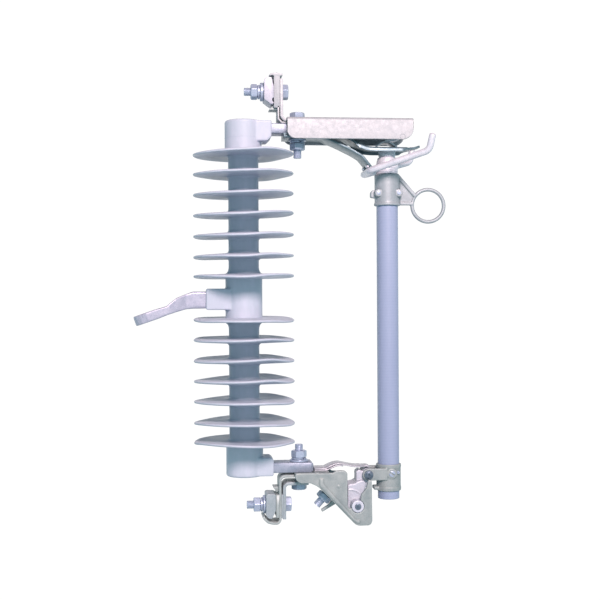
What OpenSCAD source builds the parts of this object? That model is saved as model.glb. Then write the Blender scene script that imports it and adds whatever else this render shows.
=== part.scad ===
// Dropout fuse cutout: polymer insulator, upper and lower contact hardware and a swing-out fuse holder.
// Millimetres, +Z up along the insulator, +X towards the fuse holder, front is -Y.
// Shapes are drawn from the middle of the insulator and moved so that the origin is the
// bracket's bolt hole, on the lower flat face of the bracket.

/* [Insulator] */
// Radius of the weather sheds
shed_r = 60; // [50:1:66]
// Distance between neighbouring sheds
shed_pitch = 24.35; // [22:0.1:25]
// Radius of the core between sheds
core_r = 18.1; // [16:0.5:20]
// Radius of the end caps and the centre collar
cap_r = 22; // [21:0.5:24]
// Half height of the housing
house_h = 211.5; // [205:1:216]

/* [Bracket] */
// Fall of the mounting stub from horizontal, degrees
tilt = 18.7; // [15:0.5:22]
// Radius of the bolt hole in the stub
hole_r = 7; // [6:0.5:8]

/* [Hardware] */
// Half width of the inverted channel
chan_w = 30; // [28:1:32]
// Radius of the bolts' shanks
bolt_r = 5; // [4.5:0.5:5]
// Radius of the rod of the hooks
horn_r = 4; // [3.5:0.5:4.5]

/* [Fuse holder] */
// Distance of the tube's axis from the insulator's axis
tube_x = 173.8; // [172:0.1:175]
// Outer radius of the fuse tube
tube_r = 13; // [12.5:0.5:13]
// Radius of the tube's bore
tube_bore = 8.5; // [7:0.5:9]
// Outer radius of the pull ring
ring_r = 21.6; // [20:0.2:23]

/* [Hidden] */
$fn = 48;

ox = -109;      // bolt hole, from the insulator's middle
oz = -25.7;
ax = 65;        // vertical fixing bolts
bar_lo = 195.5; // end-fitting bars, distance from the middle
bar_hi = 207.5;
web_t = 3.5;    // channel sheet
web_hi = 213;
web_lo = web_hi - web_t;
pa = [147.0, -211.5]; // toggle pin
pb = [132.0, -246.6]; // pivot pin
tz = 246.4;     // height of the terminal bolts above and below the middle

silicone = [0.74, 0.79, 0.82];
galv = [0.86, 0.86, 0.89];
steel = [0.66, 0.72, 0.80];
castg = [0.66, 0.69, 0.65];
tubec = [0.66, 0.73, 0.88];

// --- helpers -------------------------------------------------------------
module place() translate([-ox, 0, -oz]) children();
// Extrudes a shape drawn in X and Z over y0..y1
module slab(y0, y1) translate([0, y1, 0]) rotate([90, 0, 0]) linear_extrude(y1 - y0) children();
module ycyl(x, z, y0, y1, r) translate([x, y1, z]) rotate([90, 0, 0]) cylinder(r = r, h = y1 - y0);
module zcyl(x, y, z0, z1, r) translate([x, y, z0]) cylinder(r = r, h = z1 - z0);
module xcyl(x0, x1, y, z, r) translate([x0, y, z]) rotate([0, 90, 0]) cylinder(r = r, h = x1 - x0);
function unit(v) = v / norm(v);
function left(v) = [-v[1], v[0]];
// Points of a path moved sideways by d, with mitred corners
function side(p, d) = [for (i = [0:len(p) - 1])
  let (a = i == 0 ? unit(p[1] - p[0]) : unit(p[i] - p[i - 1]),
       b = i == len(p) - 1 ? a : unit(p[i + 1] - p[i]),
       n = unit(left(a) + left(b)))
  p[i] + n * d / (n * left(a))];
function back(p) = [for (i = [len(p) - 1:-1:0]) p[i]];
module strip2d(p, t) polygon(concat(side(p, t / 2), back(side(p, -t / 2))));
module hexn(af, h) cylinder(r = af / 2 / cos(30), h = h, $fn = 6);

// --- insulator -----------------------------------------------------------
function shed_pts(z, w) = [[core_r, z - w], [core_r + 3, z - min(w, 3.4)], [core_r + 9, z - 2.6], [shed_r - 0.6, z - 1.5], [shed_r, z - 0.9],
  [shed_r, z + 0.9], [shed_r - 0.6, z + 1.5], [core_r + 9, z + 2.6], [core_r + 3, z + min(w, 3.4)], [core_r, z + w]];
module housing_core() place() color(silicone) difference() {
  union() {
    rotate_extrude($fn = 96) polygon([[0, -house_h], [cap_r - 2, -house_h], [cap_r, -house_h + 2], [cap_r, -26.1 - 6 * shed_pitch - 4.4], [core_r, -26.1 - 6 * shed_pitch - 4.4],
      [core_r, -23.3], [cap_r, -21.4], [cap_r, 21.4], [core_r, 23.3],
      [core_r, 26.1 + 6 * shed_pitch + 4.4], [cap_r, 26.1 + 6 * shed_pitch + 4.4], [cap_r, house_h - 2], [cap_r - 2, house_h], [0, house_h]]);
    // side bosses over the end fittings
    slab(-17, 17) polygon([[0, 186], [28, 186], [33, 191], [33, 210.5], [0, 210.5]]);
    slab(-17, 17) polygon([[0, -210.5], [33.5, -210.5], [33.5, -191], [30, -188.5], [0, -188.5]]);
    // boss over the bracket
    slab(-16, 16) polygon([[0, -13.6], [-44, -13.6], [-45.2, -12.4], [-45.2, 10.4], [-44, 11.6], [0, 11.6]]);
  }
  translate([22, -13, bar_lo]) cube([30, 26, bar_hi - bar_lo]);
  translate([22, -13, -bar_hi]) cube([30, 26, bar_hi - bar_lo]);
  slab(-11, 11) polygon([[-32, 8.3], [-60, 8.3], [-60, -11.8], [-32, -11.8]]);
}
module weather_sheds() place() color(silicone) rotate_extrude($fn = 96)
  for (k = [0:6], s = [-1, 1]) polygon(shed_pts(s * (26.1 + k * shed_pitch), k == 0 ? 2.7 : 4.4));

// --- bracket -------------------------------------------------------------
module mounting_bracket() place() color(galv) {
  difference() {
    intersection() {
      slab(-20, 20) polygon([[-32, 8.25], [-61, 8.3], [-79.8, 0.9], [-90.9, -8.3],
        [-90.9 - 39.6, -8.3 - 39.6 * tan(tilt)], [-127.3, -25.7 - 18.3 * tan(tilt)], [-68.4, -11.95], [-32, -11.75]]);
      translate([0, 0, -60]) linear_extrude(90) union() {
        polygon([[-32, -10.9], [-66, -11], [-88, -20], [-116, -20], [-124, -17], [-129, -11], [-131.5, -4],
          [-131.5, 4], [-129, 11], [-124, 17], [-116, 20], [-88, 20], [-66, 11], [-32, 10.9]]);
      }
    }
    translate([ox, 0, oz]) rotate([0, -tilt, 0]) translate([0, 0, -10]) cylinder(r = hole_r, h = 40);
  }
}

// --- end fittings --------------------------------------------------------
module bar(s) difference() {
  slab(-13, 13) polygon([[22, s * bar_lo], [79, s * bar_lo], [81, s * (bar_lo + 2)], [81, s * (bar_hi - 2)], [79, s * bar_hi], [22, s * bar_hi]]);
  zcyl(ax, 0, -230, 230, bolt_r + 0.5);
}
module top_end_fitting() place() color(galv) bar(1);
module bottom_end_fitting() place() color(galv) bar(-1);

// --- upper line end ------------------------------------------------------
module top_channel() place() color(galv) difference() {
  union() {
    difference() {
      slab(-chan_w, chan_w) polygon([[50.4, web_hi], [200.8, web_hi], [200.8, 201], [197.5, 193], [191.5, 188.6], [187, 187.4], [61, 187.4], [55, 189.8], [50.4, 198]]);
      slab(-chan_w + web_t, chan_w - web_t) polygon([[40, web_lo], [210, web_lo], [210, 180], [40, 180]]);
    }
    // terminal tab bent up from the web
    slab(-15, 15) strip2d([[52, web_hi - web_t / 2], [48.4, web_hi - web_t / 2], [45.2, web_hi + 2], [45.2, 260.5]], web_t);
  }
  zcyl(ax, 0, 200, 230, bolt_r + 0.5);
  xcyl(30, 60, 0, tz, bolt_r + 0.5);
}
module top_terminal_strip() place() color(galv) difference() {
  union() {
    slab(-13, 13) strip2d([[76, 208.5], [45.6, 208.5], [41.4, 212.6], [41.4, 226]], 2);
    slab(-13, 13) polygon([[36.2, 226], [43.3, 226], [43.3, 262.6], [46.6, 264.2], [47.2, 266], [40, 267.6], [33, 266.8], [30.6, 264.8], [31.4, 263.8], [34, 264.6], [36.2, 264.4]]);
    slab(-9, 9) polygon([[30.5, 223.8], [42.4, 223.8], [42.4, 226], [32, 226]]);
  }
  zcyl(ax, 0, 200, 230, bolt_r + 0.5);
  xcyl(30, 60, 0, tz, bolt_r + 0.5);
}
// Saddle of a clamp, grooves towards +X, s flips it for the lower one
// Saddle seen along Y; the wedge at the far end and the notch at the near end are the conductor grooves
cap_up = [[24.4, 10.9], [25.8, 14.1], [29.1, 15.4], [33.3, 15.2], [35.9, 4.0], [35.9, -8.8], [33.9, -9.8], [34.0, -12.6], [35.8, -15.3], [34.2, -16.7], [32.5, -16.6], [24.4, -10.7]];
cap_low = [[24.4, 11.0], [27.6, 14.6], [31.1, 14.8], [35.6, 6.0], [35.9, 4.3], [35.9, -13.2], [35.2, -14.2], [26.5, -14.6], [24.4, -13.4]];
module clamp_cap(s) difference() {
  slab(-15, 15) polygon([for (p = s > 0 ? cap_up : cap_low) [p[0], s * (tz + p[1])]]);
  xcyl(20, 60, 0, s * tz, bolt_r + 0.5);
}
module clamp_bolt(s) { xcyl(s > 0 ? 1.2 : 2.2, 48.6, 0, s * tz, bolt_r); translate([s > 0 ? 47.1 : 48.4, 0, s * tz]) rotate([0, 90, 0]) rotate([0, 0, 30]) hexn(16.5, 7.6); }
module ringx(x0, x1, s, r) difference() { xcyl(x0, x1, 0, s * tz, r); xcyl(x0 - 1, x1 + 1, 0, s * tz, bolt_r + 0.15); }
module top_clamp_cap() place() color(galv) clamp_cap(1);
module top_clamp_bolt() place() color(steel) clamp_bolt(1);
module top_clamp_nut() place() color(steel) difference() { translate([9.2, 0, tz]) rotate([0, 90, 0]) hexn(16.5, 8); xcyl(0, 30, 0, tz, bolt_r + 0.05); }
module top_clamp_washers() place() color(steel) { ringx(17.2, 20.2, 1, 8.6); ringx(20.4, 24.2, 1, 11); }

contact_path = [[47, 194.25], [115, 194.25], [130, 187], [139, 182.4], [148, 179.4], [157, 178.7], [198, 178.7], [206, 180], [213, 182.4]];
module top_contact_strip() place() color([0.55, 0.65, 0.66]) difference() {
  union() {
    intersection() {
      slab(-17.5, 17.5) strip2d(contact_path, 2.5);
      translate([0, 0, 170]) linear_extrude(40) polygon([[40, -17.5], [194, -17.5], [203, -9], [214, -8], [214, 8], [203, 9], [194, 17.5], [40, 17.5]]);
    }
    // edges turned down over the fuse cap
    for (s = [-1, 1]) slab(min(s * 17.5, s * 20), max(s * 17.5, s * 20)) polygon([[131, 187.6], [139, 183.6], [148, 180.4], [157, 179], [193, 179], [195.5, 177.4], [193, 175.4], [157, 175.4], [146.5, 177.4], [137, 181], [131, 184.2]]);
  }
  zcyl(ax, 0, 180, 230, bolt_r + 0.5);
}
module top_contact_spring() place() color(steel) union() {
  slab(-10, 10) strip2d([[150, 208.4], [184, 208.4], [192, 204.5], [194, 198], [190, 192.5], [182, 189.4], [170, 188.6]], 1.8);
  slab(-10, 10) strip2d([[159, 180.95], [163, 184.2], [168, 187.1], [175, 187.1], [180, 184.2], [184.5, 180.95]], 1.8);
}
arm_path = [[47, 191.5], [94, 191.5], [116, 182], [131, 174.6], [141, 168.8], [146.3, 162.3], [153.6, 153.2]];
module horn_arm() place() color([0.62, 0.70, 0.70]) difference() {
  slab(-18.5, 18.5) strip2d(arm_path, 3);
  zcyl(ax, 0, 180, 230, bolt_r + 0.5);
  horn_solid(0.02);
}
// One side of the rod, in its own tilted plane: bend, splayed leg, bend, upturned end
splay = 24;
bead = 0.12;    // the bends are this much thicker than the straights
module horn_side(m, g) mirror([0, m, 0]) translate([9, 19, 0]) rotate([0, 0, splay]) {
  rotate([0, 0, 90]) rotate_extrude(angle = 90 - splay) translate([9, 0]) circle(r = horn_r + bead + g);
  translate([-0.5, 9, 0]) rotate([0, 90, 0]) cylinder(r = horn_r + g, h = 64);
  translate([63, 9, 10]) rotate([90, 0, 0]) {
    rotate([0, 0, -90]) rotate_extrude(angle = 60) translate([10, 0]) circle(r = horn_r + bead + g);
    rotate([0, 0, 60]) translate([-0.5, -10, 0]) rotate([0, 90, 0]) cylinder(r = horn_r + g, h = 14);
  }
}
module horn_solid(g) translate([148.7, 0, 150.6]) rotate([0, -17.5, 0]) {
  translate([0, 19.5, 0]) rotate([90, 0, 0]) cylinder(r = horn_r + g, h = 39);
  horn_side(0, g);
  horn_side(1, g);
}
module horn_hooks() place() color(galv) horn_solid(0);

module vwasher(z0, z1, r) difference() { zcyl(ax, 0, z0, z1, r); zcyl(ax, 0, z0 - 1, z1 + 1, bolt_r + 0.15); }
module top_fixing_bolt() place() color(steel) { zcyl(ax, 0, 167.4, 217, bolt_r); translate([ax, 0, 215]) hexn(16.5, 7); }
module top_fixing_nut() place() color(steel) difference() { translate([ax, 0, 177]) hexn(16.5, 8.2); zcyl(ax, 0, 170, 190, bolt_r + 0.05); }
module top_fixing_washers() place() color(steel) { vwasher(213, 215, 10.5); vwasher(188, 190, 10.5); vwasher(185.2, 187.8, 8.8); }

// --- lower hinge end -----------------------------------------------------
// Outline of one side plate; the open slot that the pivot drops into ends in a round seat
hinge_out = [[58, -206.1], [85, -206.1], [87, -206.6], [103, -206.4], [105.8, -204.3], [111.2, -203.7], [117.4, -204.4], [119.8, -207.3], [119.8, -245.1], [122, -249.4], pb,
  [135.4, -240.2], [136, -233.3], [142.5, -225.3], [144.6, -215.9], [148.9, -215.9], [149.4, -264.7], [147.8, -268], [145, -269.5], [133.4, -269.6], [129.5, -268.2], [126.6, -265.5],
  [104.2, -242], [86.7, -224.1], [82.7, -221.3], [76, -218.2], [64.9, -218.2], [60, -215.5], [58, -212]];
// The plate at +Y has no nose at its top edge
hinge_back = concat([[58, -206.1], [85, -206.1], [90, -208.4], [104, -209], [108, -211.8], [117, -212.2], [119.8, -215]], [for (i = [8 : len(hinge_out) - 1]) hinge_out[i]]);
module hinge_casting() place() color(castg) difference() {
  union() {
    slab(-27, -22) polygon(hinge_out);
    slab(22, 27) polygon(hinge_back);
    // arm under the bar and diagonal web between the plates
    slab(-22, 22) polygon([[58, -207.5], [81.5, -207.5], [81.5, -206.1], [99, -206.1], [99, -212], [92, -218.5], [88.5, -224.5], [86.7, -224.1], [82.7, -221.3], [76, -218.2], [64.9, -218.2], [60, -215.5], [58, -212]]);
    slab(-22, 22) polygon([[86.7, -224.1], [110.5, -248.6], [113.6, -245.5], [92.5, -222.4], [96, -212], [86.4, -212]]);
    slab(-3, 3) polygon([[105.9, -241.3], [109.5, -245], [107.8, -248.3], [92.5, -256.9], [91.2, -254.2], [100.2, -248.4]]);
  }
  zcyl(ax, 0, -230, -200, bolt_r + 0.5);
  ycyl(pb[0], pb[1], -30, 30, 7.6);
  // hole for the stud
  stud_frame() translate([0, 0, -20]) cylinder(r = bolt_r - 0.2, h = 30);
}
module stud_frame() translate([97.9, 0, -235.8]) rotate([0, -138, 0]) children();
module hinge_stud() place() color(steel) stud_frame() translate([0, 0, -5]) cylinder(r = bolt_r - 0.3, h = 22.8);
module hinge_stud_nut() place() color(steel) stud_frame() difference() { translate([0, 0, 0.9]) hexn(16, 7.6); translate([0, 0, -1]) cylinder(r = bolt_r - 0.25, h = 12); }
// Broad spring leaf with a tongue that reaches between the ferrule arms, and a short backing leaf
leaf = [[82.5, -203.6], [96, -203.6], [101.8, -200.9], [106.4, -199.0], [112.4, -198.1], [119.6, -199.7], [126.8, -201.3], [134.1, -202.2], [141, -202.2], [146.6, -202.0], [149.8, -203.0]];
module lower_contact_strips() place() color(galv) {
  slab(-12, 12) strip2d([[82.5, -205.3], [97.6, -205.3], [103.4, -202.6], [107.5, -200.9], [112.6, -200.0], [117, -200.8]], 1.5);
  slab(-9, 9) strip2d(leaf, 1.5);
  slab(-12, 12) strip2d([for (i = [0 : 7]) leaf[i]], 1.5);
}
module bottom_fixing_bolt() place() color(steel) { zcyl(ax, 0, -226, -175.2, bolt_r); translate([ax, 0, -229.1]) hexn(16.5, 6.9); }
module bottom_fixing_nut() place() color(steel) difference() { translate([ax, 0, -191]) hexn(16.5, 8.6); zcyl(ax, 0, -200, -170, bolt_r + 0.05); }
module bottom_fixing_washers() place() color(steel) { vwasher(-195.4, -193.4, 11); vwasher(-193.3, -191.1, 9); }
module bottom_terminal_outer() place() color(galv) difference() {
  union() {
    slab(-15, 15) strip2d([[75, -220.2], [49.5, -220.2], [46.2, -223.4], [46.2, -262.2]], 3.6);
    slab(-14.4, 14.4) polygon([[42.7, -233], [44.6, -233], [44.6, -261], [42.7, -261]]);
  }
  zcyl(ax, 0, -230, -200, bolt_r + 0.5);
  xcyl(30, 60, 0, -tz, bolt_r + 0.5);
}
module bottom_terminal_inner() place() color(castg) difference() {
  union() {
    slab(-15, 15) strip2d([[57.9, -211.4], [44.5, -211.4], [41.2, -214.6], [41.2, -263.4], [38.6, -266.9], [33, -266.9], [26.8, -265.4], [22.2, -260.9], [21.2, -258.8]], 2.8);
    slab(-9, 9) polygon([[32.4, -224.3], [41.2, -224.3], [41.2, -229.6], [37, -230.6], [35, -227.2]]);
    slab(-15, 15) polygon([[36.2, -233], [41.2, -233], [41.2, -260], [36.2, -260]]);
  }
  xcyl(30, 60, 0, -tz, bolt_r + 0.5);
}
module bottom_clamp_cap() place() color(galv) clamp_cap(-1);
module bottom_clamp_bolt() place() color(steel) clamp_bolt(-1);
module bottom_clamp_nut() place() color(steel) difference() { translate([10.3, 0, -tz]) rotate([0, 90, 0]) hexn(16.5, 8); xcyl(0, 30, 0, -tz, bolt_r + 0.05); }
module bottom_clamp_washers() place() color(steel) { ringx(18.5, 21.2, -1, 8.6); ringx(21.4, 24.2, -1, 11); }

// --- trunnion ------------------------------------------------------------
module trunnion() place() color(galv) difference() {
  union() {
    slab(-15, 15) polygon([[121.8, -245.2], [121.8, -222.8], [130.5, -221.5], [133.5, -219.5], [138.9, -217.9], [141.6, -218.8], [143.8, -221.8], [143.6, -225.9], [141.3, -230.7], [137.9, -235.4], [136.6, -240], [139, -247], [136, -252.6], [128, -252.6]]);
    slab(-9, 9) polygon([[128, -224], [133, -219.4], [133, -208.5], [136.6, -205.9], [142, -208.5], [153.6, -213], [149.4, -224], [139, -232]]);
    ycyl(pa[0], pa[1], -9, 9, 6.9);
    ycyl(pb[0], pb[1], -28.4, 28.4, 7.3);
  }
  ycyl(pa[0], pa[1], -30, 30, 3.6);
  ycyl(pb[0], pb[1], -30, 30, 3.8);
}
module trunnion_pin() place() color(steel) { ycyl(pb[0], pb[1], -29.6, 29.6, 3.8); }
module toggle_pin() place() color(steel) { ycyl(pa[0], pa[1], -17.5, 17.5, 3.6); for (s = [-1, 1]) ycyl(pa[0], pa[1], s > 0 ? 15.6 : -18.6, s > 0 ? 18.6 : -15.6, 5.4); }

// --- fuse holder ---------------------------------------------------------
module fuse_tube() place() color(tubec) difference() { zcyl(tube_x, 0, -242.3, 149, tube_r); zcyl(tube_x, 0, -250, 150, tube_bore); }
module lower_ferrule() place() color(castg) difference() {
  union() {
    zcyl(tube_x, 0, -232.4, -200.4, 15.1);
    for (s = [-1, 1]) slab(min(s * 10, s * 15.1), max(s * 10, s * 15.1)) polygon([[pa[0], pa[1] + 7.1], [tube_x, pa[1] + 7.1], [tube_x, pa[1] - 7.1], [pa[0], pa[1] - 7.1]]);
    for (s = [-1, 1]) ycyl(pa[0], pa[1], min(s * 10, s * 15.1), max(s * 10, s * 15.1), 7.1);
    slab(-8, 8) polygon([[155, -226.9], [tube_x, -226.9], [tube_x, -231.2], [155, -231.2]]);
  }
  zcyl(tube_x, 0, -250, -190, tube_r);
  ycyl(pa[0], pa[1], -30, 30, 3.7);
  ycyl(tube_x + 1.8, -211, -20, -13.2, 3.8);
  ycyl(tube_x + 9.5, -209.8, -20, -10.6, 1.9);
}
module lower_ferrule_screws() place() color(steel) {
  ycyl(tube_x + 1.8, -211, -16.2, -13.2, 3.8);
  ycyl(tube_x + 9.5, -209.8, -13.4, -10.6, 1.9);
}
module upper_ferrule() place() color(castg) difference() {
  union() {
    zcyl(tube_x, 0, 110.8, 149, 15.3);
    zcyl(tube_x, 0, 110.8, 113.7, 15.9);
    for (x = [-12.3, 12.3]) ycyl(tube_x + x, 125.6, -12.5, 12.5, 4.5);
    slab(-2, 2) polygon([[tube_x + 10, 147], [187.6, 147.2], [208, 123.6], [204, 113.5], [tube_x + 10, 113.5]]);
    slab(-3.2, 3.2) polygon([[tube_x + 10, 148.2], [188.6, 148.2], [210.5, 123], [207.3, 120.5], [187, 143.6], [tube_x + 10, 143.6]]);
    slab(-3.2, 3.2) polygon([[tube_x + 10, 115.4], [206, 115.4], [206, 111.6], [tube_x + 10, 111.6]]);
    translate([224, 0, 111.2]) rotate([90, 0, 0]) rotate_extrude($fn = 72) translate([(ring_r + 17.4) / 2, 0]) circle(r = (ring_r - 17.4) / 2 + 0.7);
    slab(-4, 4) polygon([[153, 120.6], [160, 119.6], [160, 129.6], [156, 129.8], [153.3, 127]]);
  }
  zcyl(tube_x, 0, 100, 160, tube_r);
  ycyl(224, 111.2, -10, 10, 17.4);
  for (x = [-12.3, 12.3], s = [-1, 1]) ycyl(tube_x + x, 125.6, s > 0 ? 8.6 : -20, s > 0 ? 20 : -8.6, 2.4);
}
module upper_ferrule_screws() place() color(steel) for (x = [-12.3, 12.3], s = [-1, 1]) ycyl(tube_x + x, 125.6, s > 0 ? 8.7 : -12.9, s > 0 ? 12.9 : -8.7, 2.4);
module fuse_cap() place() color(galv) translate([tube_x, 0, 0]) rotate_extrude() polygon([[0, 149], [13.2, 149], [13.2, 155.4], [14, 156.6], [12.4, 164], [11.2, 168.6], [9.4, 169.6], [10.3, 170.4], [10.3, 175.8], [8.8, 177.3], [0, 177.35]]);

// --- assembly ------------------------------------------------------------
housing_core();
weather_sheds();
mounting_bracket();
top_end_fitting();
bottom_end_fitting();
top_channel();
top_terminal_strip();
top_clamp_cap();
top_clamp_bolt();
top_clamp_nut();
top_clamp_washers();
top_contact_strip();
top_contact_spring();
horn_arm();
horn_hooks();
top_fixing_bolt();
top_fixing_nut();
top_fixing_washers();
hinge_casting();
hinge_stud();
hinge_stud_nut();
lower_contact_strips();
bottom_fixing_bolt();
bottom_fixing_nut();
bottom_fixing_washers();
bottom_terminal_outer();
bottom_terminal_inner();
bottom_clamp_cap();
bottom_clamp_bolt();
bottom_clamp_nut();
bottom_clamp_washers();
trunnion();
trunnion_pin();
toggle_pin();
fuse_tube();
lower_ferrule();
lower_ferrule_screws();
upper_ferrule();
upper_ferrule_screws();
fuse_cap();
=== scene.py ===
import math
import random

import bpy
import bmesh
from mathutils import Matrix, Vector, noise


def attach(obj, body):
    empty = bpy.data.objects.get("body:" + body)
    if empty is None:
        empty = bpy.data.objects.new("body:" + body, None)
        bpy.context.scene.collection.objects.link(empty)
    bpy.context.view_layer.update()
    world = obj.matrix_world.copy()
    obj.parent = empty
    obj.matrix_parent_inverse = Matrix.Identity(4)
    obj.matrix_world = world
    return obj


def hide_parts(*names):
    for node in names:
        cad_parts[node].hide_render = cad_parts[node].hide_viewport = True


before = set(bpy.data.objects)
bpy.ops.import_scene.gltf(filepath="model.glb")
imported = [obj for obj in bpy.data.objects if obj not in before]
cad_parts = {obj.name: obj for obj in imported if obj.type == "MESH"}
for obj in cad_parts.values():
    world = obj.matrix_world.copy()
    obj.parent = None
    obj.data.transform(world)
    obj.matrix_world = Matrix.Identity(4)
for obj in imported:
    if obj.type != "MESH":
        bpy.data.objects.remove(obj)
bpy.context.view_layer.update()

random.seed(7)
OX, OZ, K = 109.0, 25.7, 0.001   # insulator frame (mm) to row frame (m)
PI = math.pi


# --- materials -------------------------------------------------------------
def lin(c):
    return tuple(((v / 255 + 0.055) / 1.055) ** 2.4 if v > 10 else v / 255 / 12.92 for v in c) + (1.0,)


class Mat:
    """A procedural material: two-scale colour variation, grain bump, varied roughness and wear; the castings also get
    painted edge highlights and painted crease shade.
    """

    def __init__(self, name, rough=0.5, metal=0.0, **kw):
        self.m = bpy.data.materials.new(name)
        self.m.use_nodes = True
        self.t = self.m.node_tree
        self.b = self.t.nodes["Principled BSDF"]
        self.b.inputs["Roughness"].default_value = rough
        self.b.inputs["Metallic"].default_value = metal
        for k, v in kw.items():
            self.b.inputs[k].default_value = v
        self.co = self.t.nodes.new("ShaderNodeTexCoord").outputs["Object"]

    def node(self, kind, **vals):
        n = self.t.nodes.new(kind)
        for k, v in vals.items():
            if k in n.inputs:
                n.inputs[k].default_value = v
            else:
                setattr(n, k, v)
        return n

    def link(self, a, b):
        self.t.links.new(a, b)

    def scaled(self, s):
        n = self.node("ShaderNodeMapping")
        n.inputs["Scale"].default_value = s
        self.link(self.co, n.inputs["Vector"])
        return n.outputs["Vector"]

    def noise(self, scale, detail=3.0, rough=0.55, vec=None, dist=0.0):
        n = self.node("ShaderNodeTexNoise")
        n.inputs["Scale"].default_value = scale
        n.inputs["Detail"].default_value = detail
        n.inputs["Roughness"].default_value = rough
        n.inputs["Distortion"].default_value = dist
        self.link(vec or self.co, n.inputs["Vector"])
        return n.outputs["Fac"]

    def cells(self, scale, vec=None):
        n = self.node("ShaderNodeTexVoronoi")
        n.inputs["Scale"].default_value = scale
        self.link(vec or self.co, n.inputs["Vector"])
        s = self.node("ShaderNodeSeparateColor")
        self.link(n.outputs["Color"], s.inputs["Color"])
        return s.outputs["Red"]

    def ramp(self, fac, stops):
        n = self.node("ShaderNodeValToRGB")
        e = n.color_ramp.elements
        while len(e) < len(stops):
            e.new(0.5)
        for el, (p, c) in zip(e, stops):
            el.position = p
            el.color = c if len(c) == 4 else tuple(c) + (1.0,)
        self.link(fac, n.inputs["Fac"])
        return n.outputs["Color"]

    def mix(self, fac, a, b, mode="MIX"):
        n = self.node("ShaderNodeMix", data_type="RGBA", blend_type=mode)
        if isinstance(fac, float):
            n.inputs[0].default_value = fac
        else:
            self.link(fac, n.inputs[0])
        for v, i in ((a, 6), (b, 7)):
            if isinstance(v, tuple):
                n.inputs[i].default_value = v
            else:
                self.link(v, n.inputs[i])
        return n.outputs[2]

    def math(self, op, a, b=0.0):
        n = self.node("ShaderNodeMath", operation=op)
        for v, i in ((a, 0), (b, 1)):
            if isinstance(v, (int, float)):
                n.inputs[i].default_value = v
            else:
                self.link(v, n.inputs[i])
        return n.outputs[0]

    def colour(self, c):
        self.link(c, self.b.inputs["Base Color"])

    def rough(self, fac, lo, hi):
        n = self.node("ShaderNodeMapRange")
        n.inputs["To Min"].default_value = lo
        n.inputs["To Max"].default_value = hi
        n.inputs["From Min"].default_value = 0.3
        n.inputs["From Max"].default_value = 0.7
        self.link(fac, n.inputs["Value"])
        self.link(n.outputs["Result"], self.b.inputs["Roughness"])

    def bump(self, h, strength, dist):
        n = self.node("ShaderNodeBump")
        n.inputs["Strength"].default_value = strength
        n.inputs["Distance"].default_value = dist
        self.link(h, n.inputs["Height"])
        self.link(n.outputs["Normal"], self.b.inputs["Normal"])


def silicone():
    m = Mat("silicone", 0.42, 0.0, **{"Specular IOR Level": 0.3})
    base = m.ramp(m.noise(26, 4), [(0.3, lin((172, 182, 199))), (0.7, lin((180, 189, 205)))])
    dust = m.ramp(m.noise(160, 5, 0.65, m.scaled((1, 1, 0.35))), [(0.45, lin((166, 180, 193))), (0.62, lin((180, 188, 204)))])
    m.colour(m.mix(0.4, base, dust))
    m.rough(m.noise(60, 3), 0.36, 0.5)
    m.bump(m.noise(900, 3, 0.6), 0.12, 0.0003)
    return m.m


def galv(name, a, b, metal, rough, spangle=170, grain=0.3):
    m = Mat(name, rough, metal, **{"Specular IOR Level": 0.5})
    cells = m.cells(spangle)
    base = m.ramp(cells, [(0.0, lin(a)), (1.0, lin(b))])
    fine = m.noise(1300, 4, 0.7)
    speck = m.ramp(fine, [(0.38, lin(tuple(v * 0.86 for v in a))), (0.52, lin(b))])
    c = m.mix(0.45, base, speck)
    blotch = m.ramp(m.noise(55, 4, 0.6), [(0.36, (0.86, 0.88, 0.92)), (0.6, (1.0, 1.0, 1.0))])
    m.colour(m.mix(0.3, c, blotch, "MULTIPLY"))
    m.rough(m.noise(220, 4), rough - 0.08, rough + 0.1)
    m.bump(fine, grain, 0.00025)
    return m.m


def bolt():
    m = Mat("zinc_bolt", 0.4, 0.35)
    base = m.ramp(m.noise(300, 3, 0.6, m.scaled((1, 1, 3))), [(0.3, lin((152, 168, 192))), (0.7, lin((174, 188, 208)))])
    grime = m.ramp(m.noise(120, 5, 0.7), [(0.34, (0.84, 0.87, 0.9)), (0.5, (1, 1, 1))])
    m.colour(m.mix(0.5, base, grime, "MULTIPLY"))
    m.rough(m.noise(400, 4), 0.32, 0.46)
    m.bump(m.noise(1500, 2), 0.1, 0.0001)
    return m.m


def strip():
    m = Mat("plated_strip", 0.38, 0.4)
    drawn = m.noise(500, 3, 0.6, m.scaled((0.08, 1, 0.4)))
    base = m.ramp(drawn, [(0.3, lin((84, 108, 118))), (0.7, lin((112, 132, 142)))])
    spots = m.ramp(m.noise(90, 4, 0.6), [(0.33, (0.8, 0.86, 0.87)), (0.5, (1, 1, 1))])
    m.colour(m.mix(0.7, base, spots, "MULTIPLY"))
    m.rough(m.noise(200, 4), 0.26, 0.42)
    m.bump(drawn, 0.1, 0.0001)
    return m.m


def casting(name="cast_alloy", a=(132, 146, 150), b=(158, 168, 170), metal=0.2, rough=0.5):
    m = Mat(name, rough, metal)
    fine = m.noise(1100, 4, 0.7)
    base = m.ramp(m.noise(70, 5, 0.6), [(0.32, lin(a)), (0.68, lin(b))])
    grit = m.ramp(fine, [(0.36, (0.8, 0.82, 0.8)), (0.56, (1, 1, 1))])
    c = m.mix(0.6, base, grit, "MULTIPLY")
    # painted light: Pointiness darkens hollows and creases as painted shade and lightens sharp outer edges as painted
    # highlights
    edge = m.ramp(m.node("ShaderNodeNewGeometry").outputs["Pointiness"], [(0.47, (0.7, 0.73, 0.72)), (0.5, (0.97, 0.97, 0.97)), (0.56, (1.22, 1.22, 1.2))])
    m.colour(m.mix(0.8, c, edge, "MULTIPLY"))
    m.rough(m.noise(300, 4), rough - 0.08, rough + 0.12)
    m.bump(m.mix(0.5, m.ramp(fine, [(0, (0, 0, 0)), (1, (1, 1, 1))]), m.ramp(m.noise(420, 3), [(0, (0, 0, 0)), (1, (1, 1, 1))])), 0.45, 0.0004)
    return m.m


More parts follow.
